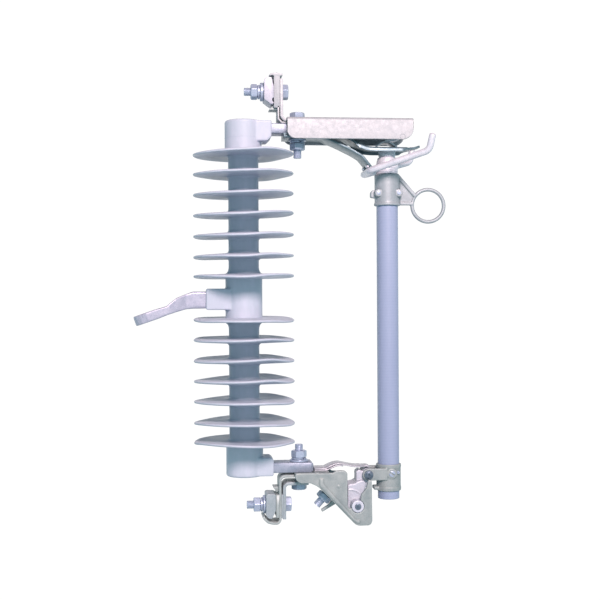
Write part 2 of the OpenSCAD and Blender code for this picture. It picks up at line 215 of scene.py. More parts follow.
def tube():
    m = Mat("painted_tube", 0.36, 0.0, **{"Coat Weight": 0.15, "Coat Roughness": 0.22, "Specular IOR Level": 0.35})
    wrap = m.node("ShaderNodeTexWave", wave_type="BANDS", bands_direction="Z")
    wrap.inputs["Scale"].default_value = 90
    wrap.inputs["Distortion"].default_value = 1.6
    wrap.inputs["Detail"].default_value = 3
    m.link(m.scaled((1, 1, 1)), wrap.inputs["Vector"])
    base = m.ramp(m.noise(30, 4, 0.6, m.scaled((1, 1, 0.12))), [(0.3, lin((136, 150, 180))), (0.7, lin((146, 160, 188)))])
    tone = m.ramp(wrap.outputs["Fac"], [(0.0, (0.965, 0.97, 0.975)), (1.0, (1, 1, 1))])
    scuff = m.ramp(m.noise(600, 4, 0.75), [(0.3, (0.88, 0.9, 0.92)), (0.42, (1, 1, 1))])
    m.colour(m.mix(0.5, m.mix(1.0, base, tone, "MULTIPLY"), scuff, "MULTIPLY"))
    m.rough(m.noise(180, 4), 0.3, 0.44)
    m.bump(wrap.outputs["Fac"], 0.12, 0.0002)
    return m.m


def pin():
    m = Mat("pin_steel", 0.36, 0.6)
    base = m.ramp(m.noise(420, 3, 0.6), [(0.3, lin((84, 100, 116))), (0.7, lin((112, 126, 142)))])
    m.colour(base)
    m.rough(m.noise(500, 4), 0.28, 0.46)
    m.bump(m.noise(1300, 3), 0.15, 0.0001)
    return m.m


def dark():
    m = Mat("glass_fibre_bore", 0.7, 0.0)
    m.colour(m.ramp(m.noise(300, 4), [(0.3, lin((70, 84, 92))), (0.7, lin((104, 118, 126)))]))
    m.bump(m.noise(900, 3), 0.2, 0.0002)
    return m.m


M = {
    "sil": silicone(),
    "galv": galv("galvanised", (154, 163, 170), (170, 176, 182), 0.12, 0.5, 240, 0.2),
    "forge": galv("galvanised_forging", (156, 162, 182), (178, 182, 200), 0.3, 0.4, 160, 0.2),
    "bar": galv("galvanised_bar", (120, 136, 156), (152, 162, 180), 0.3, 0.42, 190, 0.2),
    "bolt": bolt(),
    "strip": strip(),
    "rod": galv("galvanised_rod", (196, 202, 214), (218, 220, 230), 0.25, 0.34, 280, 0.1),
    "cast": casting(),
    "castu": casting("upper_alloy", (140, 152, 160), (162, 172, 180), 0.2, 0.46),
    "trun": casting("trunnion_alloy", (176, 184, 200), (198, 204, 218), 0.1, 0.42),
    "tube": tube(),
    "bore": dark(),
    "pin": pin(),
    "sad": galv("saddle_zinc", (162, 168, 184), (178, 182, 196), 0.1, 0.42, 240, 0.12),
    "sadl": galv("terminal_plate", (140, 156, 162), (158, 170, 178), 0.2, 0.46, 220, 0.2),
    "leaf": galv("leaf_plating", (158, 164, 176), (186, 188, 198), 0.35, 0.34, 260, 0.12),
}


# --- plane geometry --------------------------------------------------------
def fillet(p, r, n=5, closed=False):
    """Rounds the corners of a path; r is one radius or a list of one per corner."""
    out = []
    m = len(p)
    for i in range(m):
        if not closed and i in (0, m - 1):
            out.append(tuple(p[i]))
            continue
        a, b, c = Vector(p[i - 1]), Vector(p[i]), Vector(p[(i + 1) % m])
        u, v = (a - b), (c - b)
        lu, lv = u.length, v.length
        u.normalize()
        v.normalize()
        rr = r[i] if isinstance(r, (list, tuple)) else r
        ang = u.angle(v)
        if rr <= 0.01 or ang > PI - 0.02:
            out.append(tuple(b))
            continue
        t = min(rr / math.tan(ang / 2), 0.48 * min(lu, lv))
        rr = t * math.tan(ang / 2)
        s, e = b + u * t, b + v * t
        ctr = b + (u + v).normalized() * (rr / math.sin(ang / 2))
        a0 = math.atan2(s.y - ctr.y, s.x - ctr.x)
        a1 = math.atan2(e.y - ctr.y, e.x - ctr.x)
        d = (a1 - a0 + PI) % (2 * PI) - PI
        k = max(2, int(n * abs(d) / 0.8) + 1)
        for j in range(k + 1):
            q = a0 + d * j / k
            out.append((ctr.x + rr * math.cos(q), ctr.y + rr * math.sin(q)))
    return out


def shift(p, d, closed=False):
    """Moves a path sideways to its left by d, with mitred corners."""
    out = []
    m = len(p)
    for i in range(m):
        b = Vector(p[i])
        a = Vector(p[i - 1]) if (closed or i) else None
        c = Vector(p[(i + 1) % m]) if (closed or i < m - 1) else None
        u = (b - a).normalized() if a is not None else (c - b).normalized()
        v = (c - b).normalized() if c is not None else u
        n1, n2 = Vector((-u.y, u.x)), Vector((-v.y, v.x))
        n = n1 + n2
        if n.length < 1e-6:
            n = n1
        n.normalize()
        out.append(tuple(b + n * (d / max(0.35, n.dot(n1)))))
    return out


def area(p):
    return sum(p[i - 1][0] * p[i][1] - p[i][0] * p[i - 1][1] for i in range(len(p))) / 2


def clean(p):
    out = []
    for q in p:
        if not out or (Vector(q) - Vector(out[-1])).length > 0.02:
            out.append(tuple(q))
    if (Vector(out[0]) - Vector(out[-1])).length < 0.02:
        out.pop()
    return out


def arc(cx, cz, r, a0, a1, n=12):
    return [(cx + r * math.cos(math.radians(a0 + (a1 - a0) * i / n)), cz + r * math.sin(math.radians(a0 + (a1 - a0) * i / n))) for i in range(n + 1)]


# --- solids ----------------------------------------------------------------
class Piece:
    """Gathers solids in millimetres of the insulator frame and makes one Blender mesh of them."""

    def __init__(self, name, body="insulator_frame"):
        self.name, self.body = name, body
        self.v, self.f, self.mi, self.mats = [], [], [], []

    def add(self, verts, faces, mat, mtx=None):
        if mat not in self.mats:
            self.mats.append(mat)
        k = len(self.v)
        self.v += [tuple(mtx @ Vector(q)) if mtx else tuple(q) for q in verts]
        self.f += [tuple(k + i for i in f) for f in faces]
        self.mi += [self.mats.index(mat)] * len(faces)
        return self

    def prism(self, outline, y0, y1, mat, b=0.5, seg=2, yf=None):
        """Outline in X and Z, run from y0 to y1, with rounded rims."""
        p = clean(outline)
        if area(p) < 0:
            p = p[::-1]
        n = len(p)
        rings = []
        half = abs(y1 - y0) / 2
        b = min(b, half * 0.95)
        for k in range(seg + 1):
            a = PI / 2 * k / seg
            rings.append((shift(p, b * (1 - math.sin(a)), True), b * (1 - math.cos(a))))
        verts = []
        order = [(q, d, 0) for q, d in rings] + [(q, d, 1) for q, d in reversed(rings)]
        for q, d, side in order:
            for (x, z), (px, pz) in zip(q, p):
                lo, hi = yf(px, pz) if yf else (y0, y1)
                verts.append((x, lo + d if side == 0 else hi - d, z))
        faces = []
        m = len(order)
        for k in range(m - 1):
            for i in range(n):
                j = (i + 1) % n
                faces.append((k * n + i, k * n + j, (k + 1) * n + j, (k + 1) * n + i))
        faces.append(tuple(range(n))[::-1])
        faces.append(tuple((m - 1) * n + i for i in range(n)))
        return self.add(verts, faces, mat)

    def sheet(self, path, t, y0, y1, mat, r=4.0, b=0.35, yf=None, n=5):
        """A bent strip of thickness t along a path in X and Z."""
        p = fillet(path, r, n)
        return self.prism(shift(p, t / 2) + shift(p, -t / 2)[::-1], y0, y1, mat, b, 2, yf)

    def lathe(self, prof, mat, mtx=None, n=48, ring=False, rf=None):
        """Profile of (r, z) about Z. ring: the profile closes on itself. rf(a, r, z) changes a point."""
        verts, faces, rows = [], [], []
        for r, z in prof:
            if r < 1e-6:
                rows.append([len(verts)])
                verts.append((0, 0, z))
            else:
                rows.append(list(range(len(verts), len(verts) + n)))
                for i in range(n):
                    a = 2 * PI * i / n
                    rr, zz = rf(a, r, z) if rf else (r, z)
                    verts.append((rr * math.cos(a), rr * math.sin(a), zz))
        pairs = list(zip(rows[:-1], rows[1:])) + ([(rows[-1], rows[0])] if ring else [])
        for a, b in pairs:
            for i in range(n):
                j = (i + 1) % n
                if len(a) == 1 and len(b) == 1:
                    continue
                if len(a) == 1:
                    faces.append((a[0], b[j], b[i]))
                elif len(b) == 1:
                    faces.append((a[i], a[j], b[0]))
                else:
                    faces.append((a[i], a[j], b[j], b[i]))
        return self.add(verts, faces, mat, mtx)

    def rod(self, pts, r, mat, n=20, ends=True, rr=None):
        """A round rod along 3-D points, with domed ends."""
        pts = [Vector(q) for q in pts]
        t0 = (pts[1] - pts[0]).normalized()
        up = Vector((0, 0, 1)) if abs(t0.z) < 0.9 else Vector((1, 0, 0))
        u = t0.cross(up).normalized()
        rings = []
        for i, q in enumerate(pts):
            t = ((pts[min(i + 1, len(pts) - 1)] - q).normalized() if i < len(pts) - 1 else Vector()) + ((q - pts[i - 1]).normalized() if i else Vector())
            t.normalize()
            u = (u - t * u.dot(t)).normalized()
            rings.append((q, t, u.copy(), rr(i) if rr else r))
        if ends:
            def dome(e, s):
                q, t, u, rad = e
                k = []
                for j in (1, 2, 3):
                    a = PI / 2 * j / 4
                    k.append((q + t * s * rad * math.sin(a) * 0.55, t, u, rad * math.cos(a)))
                return k
            rings = dome(rings[0], -1)[::-1] + rings + dome(rings[-1], 1)
        verts, faces = [], []
        for q, t, u, rad in rings:
            w = t.cross(u)
            for i in range(n):
                a = 2 * PI * i / n
                verts.append(tuple(q + (u * math.cos(a) + w * math.sin(a)) * rad))
        for k in range(len(rings) - 1):
            for i in range(n):
                j = (i + 1) % n
                faces.append((k * n + i, k * n + j, (k + 1) * n + j, (k + 1) * n + i))
        faces.append(tuple(range(n))[::-1])
        faces.append(tuple((len(rings) - 1) * n + i for i in range(n)))
        return self.add(verts, faces, mat)

    def hexagon(self, af, z0, z1, mat, mtx, turn=0.0, hole=0.0, top=True, bottom=True):
        """Hexagon nut or head with the round chamfer of a turned blank."""
        rc = af / 2 * 0.955
        R = af / 2 / math.cos(PI / 6)
        angs = []
        for k in range(6):
            for d in (-29.2, -24, -18, -12, -6, 0, 6, 12, 18, 24, 29.2):
                angs.append(math.radians(60 * k + d + 30))
        n = len(angs)
        rad = [min(af / 2 / math.cos(((a - PI / 6 + PI / 6) % (PI / 3)) - PI / 6), R - 0.15) for a in angs]
        rows = []
        def ring(f):
            rows.append([(f(i)[0] * math.cos(angs[i] + turn), f(i)[0] * math.sin(angs[i] + turn), f(i)[1]) for i in range(n)])
        c = math.tan(math.radians(30))
        ring(lambda i: (max(hole, 0.01), z1))
        ring(lambda i: (rc * 0.9, z1))
        ring(lambda i: (rc, z1 - 0.1))
        ring(lambda i: (rad[i], z1 - 0.1 - ((rad[i] - rc) * c if top else 0.1)))
        ring(lambda i: (rad[i], z0 + 0.1 + ((rad[i] - rc) * c if bottom else 0.1)))
        ring(lambda i: (rc if bottom else rad[i] - 0.1, z0))
        ring(lambda i: (max(hole, 0.01), z0))
        verts = [q for r in rows for q in r]
        faces = []
        m = len(rows)
        for k in range(m if hole else m - 1):
            for i in range(n):
                j = (i + 1) % n
                a, b = k, (k + 1) % m
                faces.append((b * n + i, b * n + j, a * n + j, a * n + i))
        if not hole:
            faces.append(tuple(range(n)))
            faces.append(tuple((m - 1) * n + i for i in range(n))[::-1])
        return self.add(verts, faces, mat, mtx)

    def thread(self, r, z0, z1, mat, mtx, pitch=1.5, depth=0.85, n=28, cham=1.0):
        """Threaded shank from z0 (chamfered free end) to z1."""
        steps = int(abs(z1 - z0) / pitch * 6)
        prof = []
        s = 1 if z1 > z0 else -1
        verts, faces = [], []
        for k in range(steps + 1):
            z = z0 + (z1 - z0) * k / steps
            for i in range(n):
                a = 2 * PI * i / n
                ph = (z / pitch - i / n) % 1.0
                tri = abs(ph * 2 - 1)
                q = r - depth * (1 - tri) * 0.75
                e = abs(z - z0)
                q = min(q, r - depth * 0.8 + e) if e < cham else q
                verts.append((q * math.cos(a), q * math.sin(a), z))
        for k in range(steps):
            for i in range(n):
                j = (i + 1) % n
                f = (k * n + i, k * n + j, (k + 1) * n + j, (k + 1) * n + i)
                faces.append(f if s > 0 else f[::-1])
        c0 = tuple(range(n))
        c1 = tuple(steps * n + i for i in range(n))
        faces.append(c0[::-1] if s > 0 else c0)
        faces.append(c1 if s > 0 else c1[::-1])
        return self.add(verts, faces, mat, mtx)

    def spring_washer(self, r0, r1, z0, z1, mat, mtx, gap=14, start=0.0):
        """Split ring whose ends step past each other."""
        n = 44
        t = (z1 - z0) * 0.74
        verts, faces = [], []
        for k in range(n + 1):
            a = start + math.radians(gap / 2) + (2 * PI - math.radians(gap)) * k / n
            z = z0 + (z1 - z0 - t) * k / n
            for r, zz in ((r0, z + 0.15), (r0 + 0.15, z), (r1 - 0.3, z), (r1, z + 0.3), (r1, z + t - 0.3), (r1 - 0.3, z + t), (r0 + 0.15, z + t), (r0, z + t - 0.15)):
                verts.append((r * math.cos(a), r * math.sin(a), zz))
        for k in range(n):
            for i in range(8):
                j = (i + 1) % 8
                faces.append((k * 8 + i, k * 8 + j, (k + 1) * 8 + j, (k + 1) * 8 + i)[::-1])
        faces.append(tuple(range(8)))
        faces.append(tuple(n * 8 + i for i in range(8))[::-1])
        return self.add(verts, faces, mat, mtx)

    def ring(self, r0, r1, z0, z1, mat, mtx, b=0.35, n=48):
        prof = [(r0, z0 + b), (r0 + b, z0), (r1 - b, z0), (r1 - b * 0.3, z0 + b * 0.3), (r1, z0 + b), (r1, z1 - b), (r1 - b * 0.3, z1 - b * 0.3), (r1 - b, z1), (r0 + b, z1), (r0, z1 - b)]
        return self.lathe(prof, mat, mtx, n, ring=True)

    def make(self, replaces=(), angle=35, remesh=0.0, smooth=3, factor=0.5, cut=None):
        me = bpy.data.meshes.new(self.name)
        me.from_pydata([((x + OX) * K, y * K, (z + OZ) * K) for x, y, z in self.v], [], self.f)
        o = bpy.data.objects.new(self.name, me)
        bpy.context.scene.collection.objects.link(o)
        for m in self.mats:
            me.materials.append(M[m])
        me.polygons.foreach_set("material_index", self.mi)
        bm = bmesh.new()
        bm.from_mesh(me)
        bmesh.ops.remove_doubles(bm, verts=bm.verts, dist=1e-7)
        bmesh.ops.recalc_face_normals(bm, faces=bm.faces)
        bm.to_mesh(me)
        bm.free()
        if cut or remesh:
            tools = []
            for c in cut or []:
                tm = c.make_tool()
                d = o.modifiers.new("cut", "BOOLEAN")
                d.operation, d.solver, d.object = "DIFFERENCE", "EXACT", tm
                d.use_self = True
                tools.append(tm)
            if remesh:
                d = o.modifiers.new("remesh", "REMESH")
                d.mode, d.voxel_size, d.use_smooth_shade = "VOXEL", remesh * K, True
                d = o.modifiers.new("smooth", "SMOOTH")
                d.factor, d.iterations = factor, smooth
            dg = bpy.context.evaluated_depsgraph_get()
            new = bpy.data.meshes.new_from_object(o.evaluated_get(dg), depsgraph=dg)
            o.modifiers.clear()
            new.name = self.name
            o.data = new
            bpy.data.meshes.remove(me)
            me = new
            for tm in tools:
                bpy.data.objects.remove(tm)
        me.polygons.foreach_set("use_smooth", [True] * len(me.polygons))
        if not remesh:
            me.set_sharp_from_angle(angle=math.radians(angle))
        me.update()
        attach(o, self.body)
        if replaces:
            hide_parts(*replaces)
        return o

    def make_tool(self):
        me = bpy.data.meshes.new(self.name)
        me.from_pydata([((x + OX) * K, y * K, (z + OZ) * K) for x, y, z in self.v], [], self.f)
        bm = bmesh.new()
        bm.from_mesh(me)
        bmesh.ops.recalc_face_normals(bm, faces=bm.faces)
        bm.to_mesh(me)
        bm.free()
        o = bpy.data.objects.new(self.name, me)
        bpy.context.scene.collection.objects.link(o)
        return o


def at(x, y, z):
    return Matrix.Translation((x, y, z))


def along_x(x, z):
    """Local Z becomes +X, local X becomes -Z."""
    return Matrix.Translation((x, 0, z)) @ Matrix.Rotation(PI / 2, 4, "Y")


def along_y(x, z):
    """Local Z becomes -Y (towards the front)."""
    return Matrix.Translation((x, 0, z)) @ Matrix.Rotation(PI / 2, 4, "X")


def round_prof(r, z0, z1, b=0.5):
    return [(0, z0), (r - b, z0), (r - b * 0.3, z0 + b * 0.3), (r, z0 + b), (r, z1 - b), (r - b * 0.3, z1 - b * 0.3), (r - b, z1), (0, z1)]


# --- silicone housing ------------------------------------------------------
def concave(r0, z0, r1, z1, n=6):
    """Quarter-round blend between two radii, hollow side outwards."""
    return [(r0 + (r1 - r0) * (1 - math.cos(PI / 2 * i / n)), z0 + (z1 - z0) * math.sin(PI / 2 * i / n)) for i in range(n + 1)]


core = [(0, -211.5), (19.4, -211.5), (20.8, -211.1), (21.7, -210.2), (22, -208.9), (22, -176), (18.1, -168), (18.1, -37.5)]
core += concave(18.1, -37.5, 22, -29.5) + concave(18.1, 37.5, 22, 29.5)[::-1]
core += [(18.1, 168), (22, 176), (22, 208.9), (21.7, 210.2), (20.8, 211.1), (19.4, 211.5), (0, 211.5)]
p = Piece("silicone_core")
p.lathe(core, "sil", n=96)
p.prism(fillet([(2, 186), (28, 186), (33, 191), (33, 210.5), (2, 210.5)], [0, 0, 2, 2, 0], 4), -17, 17, "sil", 1.0, 3)
p.prism(fillet([(2, -210.5), (33.5, -210.5), (33.5, -191), (30, -188.5), (2, -188.5)], [0, 2, 2, 1.5, 0], 4), -17, 17, "sil", 1.0, 3)
p.prism(fillet([(-2, -13.6), (-44, -13.6), (-45.2, -12.4), (-45.2, 10.4), (-44, 11.6), (-2, 11.6)], [0, 0.5, 0.5, 0.5, 0.5, 0], 3), -16, 16, "sil", 1.0, 3)
p.make(["housing_core"], remesh=0.909, smooth=3)

SHED = [(17.4, 6.4), (18.0, 6.2), (18.35, 5.3), (18.9, 4.45), (19.8, 3.75), (21.2, 3.3), (24, 3.0), (30, 2.75), (38, 2.4), (46, 2.1), (53, 1.85), (57.5, 1.6), (59.0, 1.35), (59.7, 0.85), (59.95, 0.3)]
# How far each soft shed's rim sags, every 30 degrees from +X towards the back, lowest shed first
WAVE = [
    (-0.6, -0.9, -2.7, -2.0, -1.5, -1.3, -0.6, -3.0, -3.4, -2.4, -1.4, -1.8),
    (0.9, -0.4, -2.9, -1.8, -0.2, 1.0, 0.3, -1.5, -2.0, -1.9, -1.2, 0.8),
    (-0.3, -1.9, -3.8, -2.4, -0.8, 0.0, -0.7, -1.6, -2.0, -2.2, -2.0, 0.0),
    (-0.3, -1.7, -3.9, -2.8, -1.2, 0.0, -0.5, -1.3, -2.2, -2.8, -3.4, -0.4),
    (-0.3, -1.6, -3.5, -3.0, -2.4, -1.8, -0.3, -0.5, -1.5, -2.5, -3.6, -0.6),
    (-0.4, -1.6, -3.0, -2.6, -2.4, -2.3, -0.8, -0.5, -1.0, -1.4, -2.5, -0.4),
    (0.0, -2.0, -2.5, -2.2, -2.0, -1.8, -0.6, 0.6, 0.3, 0.5, 0.4, 1.2),
    (-0.2, 0.5, 0.7, 0.7, 0.9, 0.9, 0.1, -0.2, 0.5, 1.2, -0.8, -1.0),
    (-0.2, -0.2, -0.1, 0.4, 1.2, 2.1, 1.5, 1.1, 1.3, 1.5, -0.6, -0.1),
    (-0.7, -0.4, -1.7, -0.8, 0.8, 1.8, 1.2, 1.4, 1.7, 1.4, -0.5, -0.9),
    (-1.9, -1.4, -1.6, -0.8, 0.0, 0.4, 0.8, 1.5, 1.9, 1.6, -0.6, -1.9),
    (-1.1, -1.0, -0.8, -0.3, 0.0, 0.4, 0.8, 1.5, 1.7, 1.3, -0.5, -1.1),
    (-0.8, -0.8, 0.9, 0.6, 0.0, -0.3, 0.6, 1.7, 1.7, 1.2, -0.2, -0.3),
    (0.1, 0.2, 1.9, 1.5, 1.3, 1.5, 1.7, 2.5, 2.2, 1.3, -0.6, 0.0),
]


def sag(w, a):
    """Smooth closed curve through the twelve values, in millimetres of rise."""
    u = (a / (2 * PI) * 12) % 12
    i = int(u)
    t = u - i
    q0, q1, q2, q3 = (w[(i + j - 1) % 12] for j in range(4))
    v = 0.5 * (2 * q1 + (q2 - q0) * t + (2 * q0 - 5 * q1 + 4 * q2 - q3) * t * t + (3 * q1 - q0 - 3 * q2 + q3) * t ** 3)
    return -1.17 * v



sheds = Piece("silicone_sheds")
for idx in range(14):
    k = idx - 7 if idx > 6 else 6 - idx
    z0 = (26.1 + 24.35 * k) * (1 if idx > 6 else -1)      # idx 0 is the lowest
    w = WAVE[idx]

    def bend(a, r, z, z0=z0, w=w, idx=idx):
        g = max(0.0, (r - 20) / 40) ** 1.4
        f = sag(w, a)
        return r, z + g * f

    hi = [(r, z0 + h) for r, h in SHED]
    lo = [(r, z0 - h) for r, h in SHED]
    sheds.lathe([(17.4, lo[0][1])] + lo[1:] + hi[::-1], "sil", n=112, ring=True, rf=bend)
sheds.lathe([(21.8, 190.2), (22.16, 190.55), (22.2, 190.7), (22.16, 190.85), (21.8, 191.2)], "sil", n=96, ring=True)
sheds.make(["weather_sheds"], angle=60)

# --- mounting stub ---------------------------------------------------------
tilt = math.radians(18.7)
stub = Piece("mounting_stub")
sec = [  # x, top, bottom, half width
    (-38, 8.25, -11.8, 10.9), (-46, 8.25, -11.8, 10.95), (-60.5, 8.3, -12.0, 11.0), (-68.4, 5.5, -12.6, 12.4),
    (-79.8, 0.9, -15.8, 16.8), (-88, -5.6, -18.5, 19.2), (-91.5, -8.7, -19.7, 19.7), (-104, -12.8, -23.9, 19.9),
    (-114, -16.2, -27.3, 19.9), (-121, -18.6, -29.7, 18.0), (-125.5, -20.2, -31.2, 14.2), (-128.2, -21.1, -32.1, 9.0), (-129.0, -21.9, -31.8, 4.0)]
verts, faces = [], []
ns = 0
for x, t, b, wd in sec:
    c = 2.2 if x > -66 else 1.3
    dx = math.tan(tilt) if x < -66 else 0.0
    mid = (t + b) / 2
    loop = [(-wd + c, b), (wd - c, b), (wd - c * 0.3, b + c * 0.3), (wd, b + c), (wd, t - c), (wd - c * 0.3, t - c * 0.3), (wd - c, t), (-wd + c, t), (-wd + c * 0.3, t - c * 0.3), (-wd, t - c), (-wd, b + c), (-wd + c * 0.3, b + c * 0.3)]
    ns = len(loop)
    for y, z in loop:
        verts.append((x + (mid - z) * dx if x < -100 else x, y, z))
for k in range(len(sec) - 1):
    for i in range(ns):
        j = (i + 1) % ns
        faces.append((k * ns + i, k * ns + j, (k + 1) * ns + j, (k + 1) * ns + i))
faces.append(tuple(range(ns))[::-1])
faces.append(tuple((len(sec) - 1) * ns + i for i in range(ns)))
stub.add(verts, faces, "forge")
drill = Piece("drill")
drill.lathe([(0, -12), (7, -12), (7, 30), (0, 30)], "forge", at(-109, 0, -25.7) @ Matrix.Rotation(-tilt, 4, "Y"), 48)
stub.make(["mounting_bracket"], remesh=0.7, smooth=3, cut=[drill])

# --- end-fitting bars ------------------------------------------------------
for s, nm in ((1, "top"), (-1, "bottom")):
    bar = Piece(nm + "_bar")
    o = [(22, 195.5), (79, 195.5), (81, 197.5), (81, 205.5), (79, 207.5), (22, 207.5)]
    bar.prism(fillet([(x, s * z) for x, z in o], 0.8, 3), -13, 13, "bar", 1.3, 3)
    bar.make([nm + "_end_fitting"])

# --- upper channel ---------------------------------------------------------
ch = Piece("contact_hood")


def hood_low(x):
    """Height of the flange's lower edge along the channel."""
    e0, e1 = 50.4, 200.8
    if x < e0 + 10:
        return 187.4 + 10 - math.sqrt(max(0.0, 100 - (e0 + 10 - x) ** 2))
    if x > e1 - 13:
        return 187.4 + 13 - math.sqrt(max(0.0, 169 - (x - e1 + 13) ** 2))
    return 187.4


xs = [50.4 + 10 * (1 - math.cos(PI / 2 * i / 10)) for i in range(11)] + [60.4 + (187.8 - 60.4) * i / 26 for i in range(1, 26)] + [187.8 + 13 * math.sin(PI / 2 * i / 12) for i in range(13)]
T, RO = 3.5, 4.6


def hood_section(x, inset):
    """Closed loop of the bent sheet at x: outside from front edge over the top to the rear edge, then back inside."""
    low = hood_low(x) + inset
    out, inn = [], []
    for s in (-1, 1):
        part_o = [(s * (30 - inset), low + 0.5), (s * (30 - inset), 213 - RO)]
        part_i = [(s * (26.5 + inset), low + 0.5), (s * (26.5 + inset), 213 - RO)]
        for j in range(1, 7):
            a = PI / 2 * j / 6
            part_o.append((s * (30 - RO + (RO - inset) * math.cos(a)), 213 - RO + (RO - inset) * math.sin(a)))
            part_i.append((s * (30 - RO + (RO - T + inset) * math.cos(a)), 213 - RO + (RO - T + inset) * math.sin(a)))
        if s < 0:
            out += [(s * (29.5 - inset), low)] + part_o
            inn += [(s * (27 + inset), low)] + part_i
        else:
            out += part_o[::-1] + [(s * (29.5 - inset), low)]
            inn += part_i[::-1] + [(s * (27 + inset), low)]
    return out + inn[::-1]


verts, faces = [], []
st = [(xs[0], 0.5, 0.0)] + [(x, 0.0, 0.4 if i == 0 else (-0.4 if i == len(xs) - 1 else 0.0)) for i, x in enumerate(xs)] + [(xs[-1], 0.5, 0.0)]
for x, ins, dx in st:
    for y, z in hood_section(x, ins):
        verts.append((x + dx, y, z))
n = len(hood_section(100, 0))
for k in range(len(st) - 1):
    for i in range(n):
        j = (i + 1) % n
        faces.append((k * n + i, k * n + j, (k + 1) * n + j, (k + 1) * n + i))
half = n // 2
for base, flip in ((0, False), ((len(st) - 1) * n, True)):
    for i in range(half - 1):
        f = (base + i, base + i + 1, base + n - 2 - i, base + n - 1 - i)
        faces.append(f[::-1] if flip else f)
ch.add(verts, faces, "galv")
# tab bent up for the line terminal
ch.sheet([(60, 211.25), (49, 211.25), (45.2, 215), (45.2, 260.5)], 3.5, -15, 15, "galv", 4.2, 0.5,
         yf=lambda x, z: (-15 + max(0, z - 256) * 0.5, 15 - max(0, z - 256) * 0.5))
# small pressed ring near the contact end
ch.lathe([(2.6, -0.2), (2.7, 0.25), (3.1, 0.4), (3.5, 0.25), (3.6, -0.2)], "galv", Matrix.Translation((187.5, -30, 190.6)) @ Matrix.Rotation(PI / 2, 4, "X"), 32, ring=True)
ch.make(["top_channel"])

# --- upper terminal --------------------------------------------------------
p = Piece("top_terminal")
p.sheet([(76, 208.5), (45.6, 208.5), (41.4, 212.6), (41.4, 228)], 2, -13, 13, "galv", 2.6, 0.3)
p.prism(fillet([(36.2, 226), (43.3, 226), (43.3, 263.2), (46.6, 264.4), (47.2, 266), (40, 267.6), (33, 266.8), (30.6, 264.8), (31.4, 263.8), (34, 264.6), (36.2, 264.2)],
               [0.6, 0.4, 1.2, 0.6, 0.6, 2.5, 1.2, 0.3, 0.3, 0.8, 1.0], 4), -13, 13, "galv", 0.3, 2)
p.prism(fillet([(30.5, 223.8), (42.4, 223.8), (42.4, 226.2), (32, 226.2)], [0.4, 0, 0, 0.8], 3), -9, 9, "cast", 0.4)
p.make(["top_terminal_strip"])


def clamp(name, s, node):
    q = Piece(name)
    tz = 246.4
    if s > 0:
        o = [(24.4, 10.9), (25.8, 14.1), (29.1, 15.4), (33.3, 15.2), (35.9, 4.0), (35.9, -8.8), (33.9, -9.8), (34.0, -12.6), (35.8, -15.3), (34.2, -16.7), (32.5, -16.6), (24.4, -10.7)]
        rr = [2.0, 1.6, 2.0, 0.8, 1.5, 0.4, 0.8, 0.8, 0.5, 0.6, 1.2, 2.0]
    else:
        o = [(24.4, 11.0), (27.6, 14.6), (31.1, 14.8), (35.6, 6.0), (35.9, 4.3), (35.9, -13.2), (35.2, -14.2), (26.5, -14.6), (24.4, -13.4)]
        rr = [2.0, 2.0, 0.8, 0.8, 0.6, 0.5, 0.8, 1.5, 1.2]
    q.prism(fillet([(x, s * (tz + z)) for x, z in o], rr, 4, True), -15, 15, "sad" if s > 0 else "sadl", 0.45, 3)
    q.make([node])


clamp("top_clamp_saddle", 1, "top_clamp_cap")
clamp("bottom_clamp_saddle", -1, "bottom_clamp_cap")


def clamp_bolt(s, nm, x_end, nut, wash, head, turn):
    tz = s * 246.4
    m0 = along_x(0, tz)
    b = Piece(nm + "_clamp_screw")
    b.thread(5, x_end, wash[0] - 0.5, "bolt", m0)
    b.lathe([(0, wash[0] - 0.5), (4.95, wash[0] - 0.5), (4.95, head + 1.4), (0, head + 1.4)], "bolt", m0, 32)
    b.hexagon(16.5, head, head + 6.9, "bolt", m0, turn + 0.12, bottom=False)
    b.make([nm + "_clamp_bolt"])
    b = Piece(nm + "_clamp_hexnut")
    b.hexagon(16.5, nut, nut + 8, "bolt", m0, turn, hole=4.6)
    b.make([nm + "_clamp_nut"])
    b = Piece(nm + "_clamp_rings")
    b.spring_washer(5.3, 8.6, wash[0], wash[1], "bolt", m0, 14, math.radians(200))
    b.ring(5.2, 11, wash[2], wash[3], "bolt", m0, 0.5)
    b.make([nm + "_clamp_washers"])


clamp_bolt(1, "top", 1.2, 9.2, (17.2, 20.2, 20.5, 24.2), 47.2, math.radians(15))
clamp_bolt(-1, "bottom", 2.2, 10.3, (18.5, 21.2, 21.5, 24.2), 48.5, math.radians(20))

# --- upper contact ---------------------------------------------------------
cp = [(47, 194.25), (115, 194.25), (130, 187), (139, 182.4), (148, 179.4), (157, 178.7), (198, 178.7), (206, 180), (213, 182.4)]


def contact_y(x, z):
    if x < 194:
        h = 17.5
    elif x < 203:
        h = 17.5 - 8.5 * math.sin((x - 194) / 9 * PI / 2)
    else:
        h = 9 - (x - 203) * 0.1 - max(0, x - 209) ** 2 * 0.12
    return -h, h


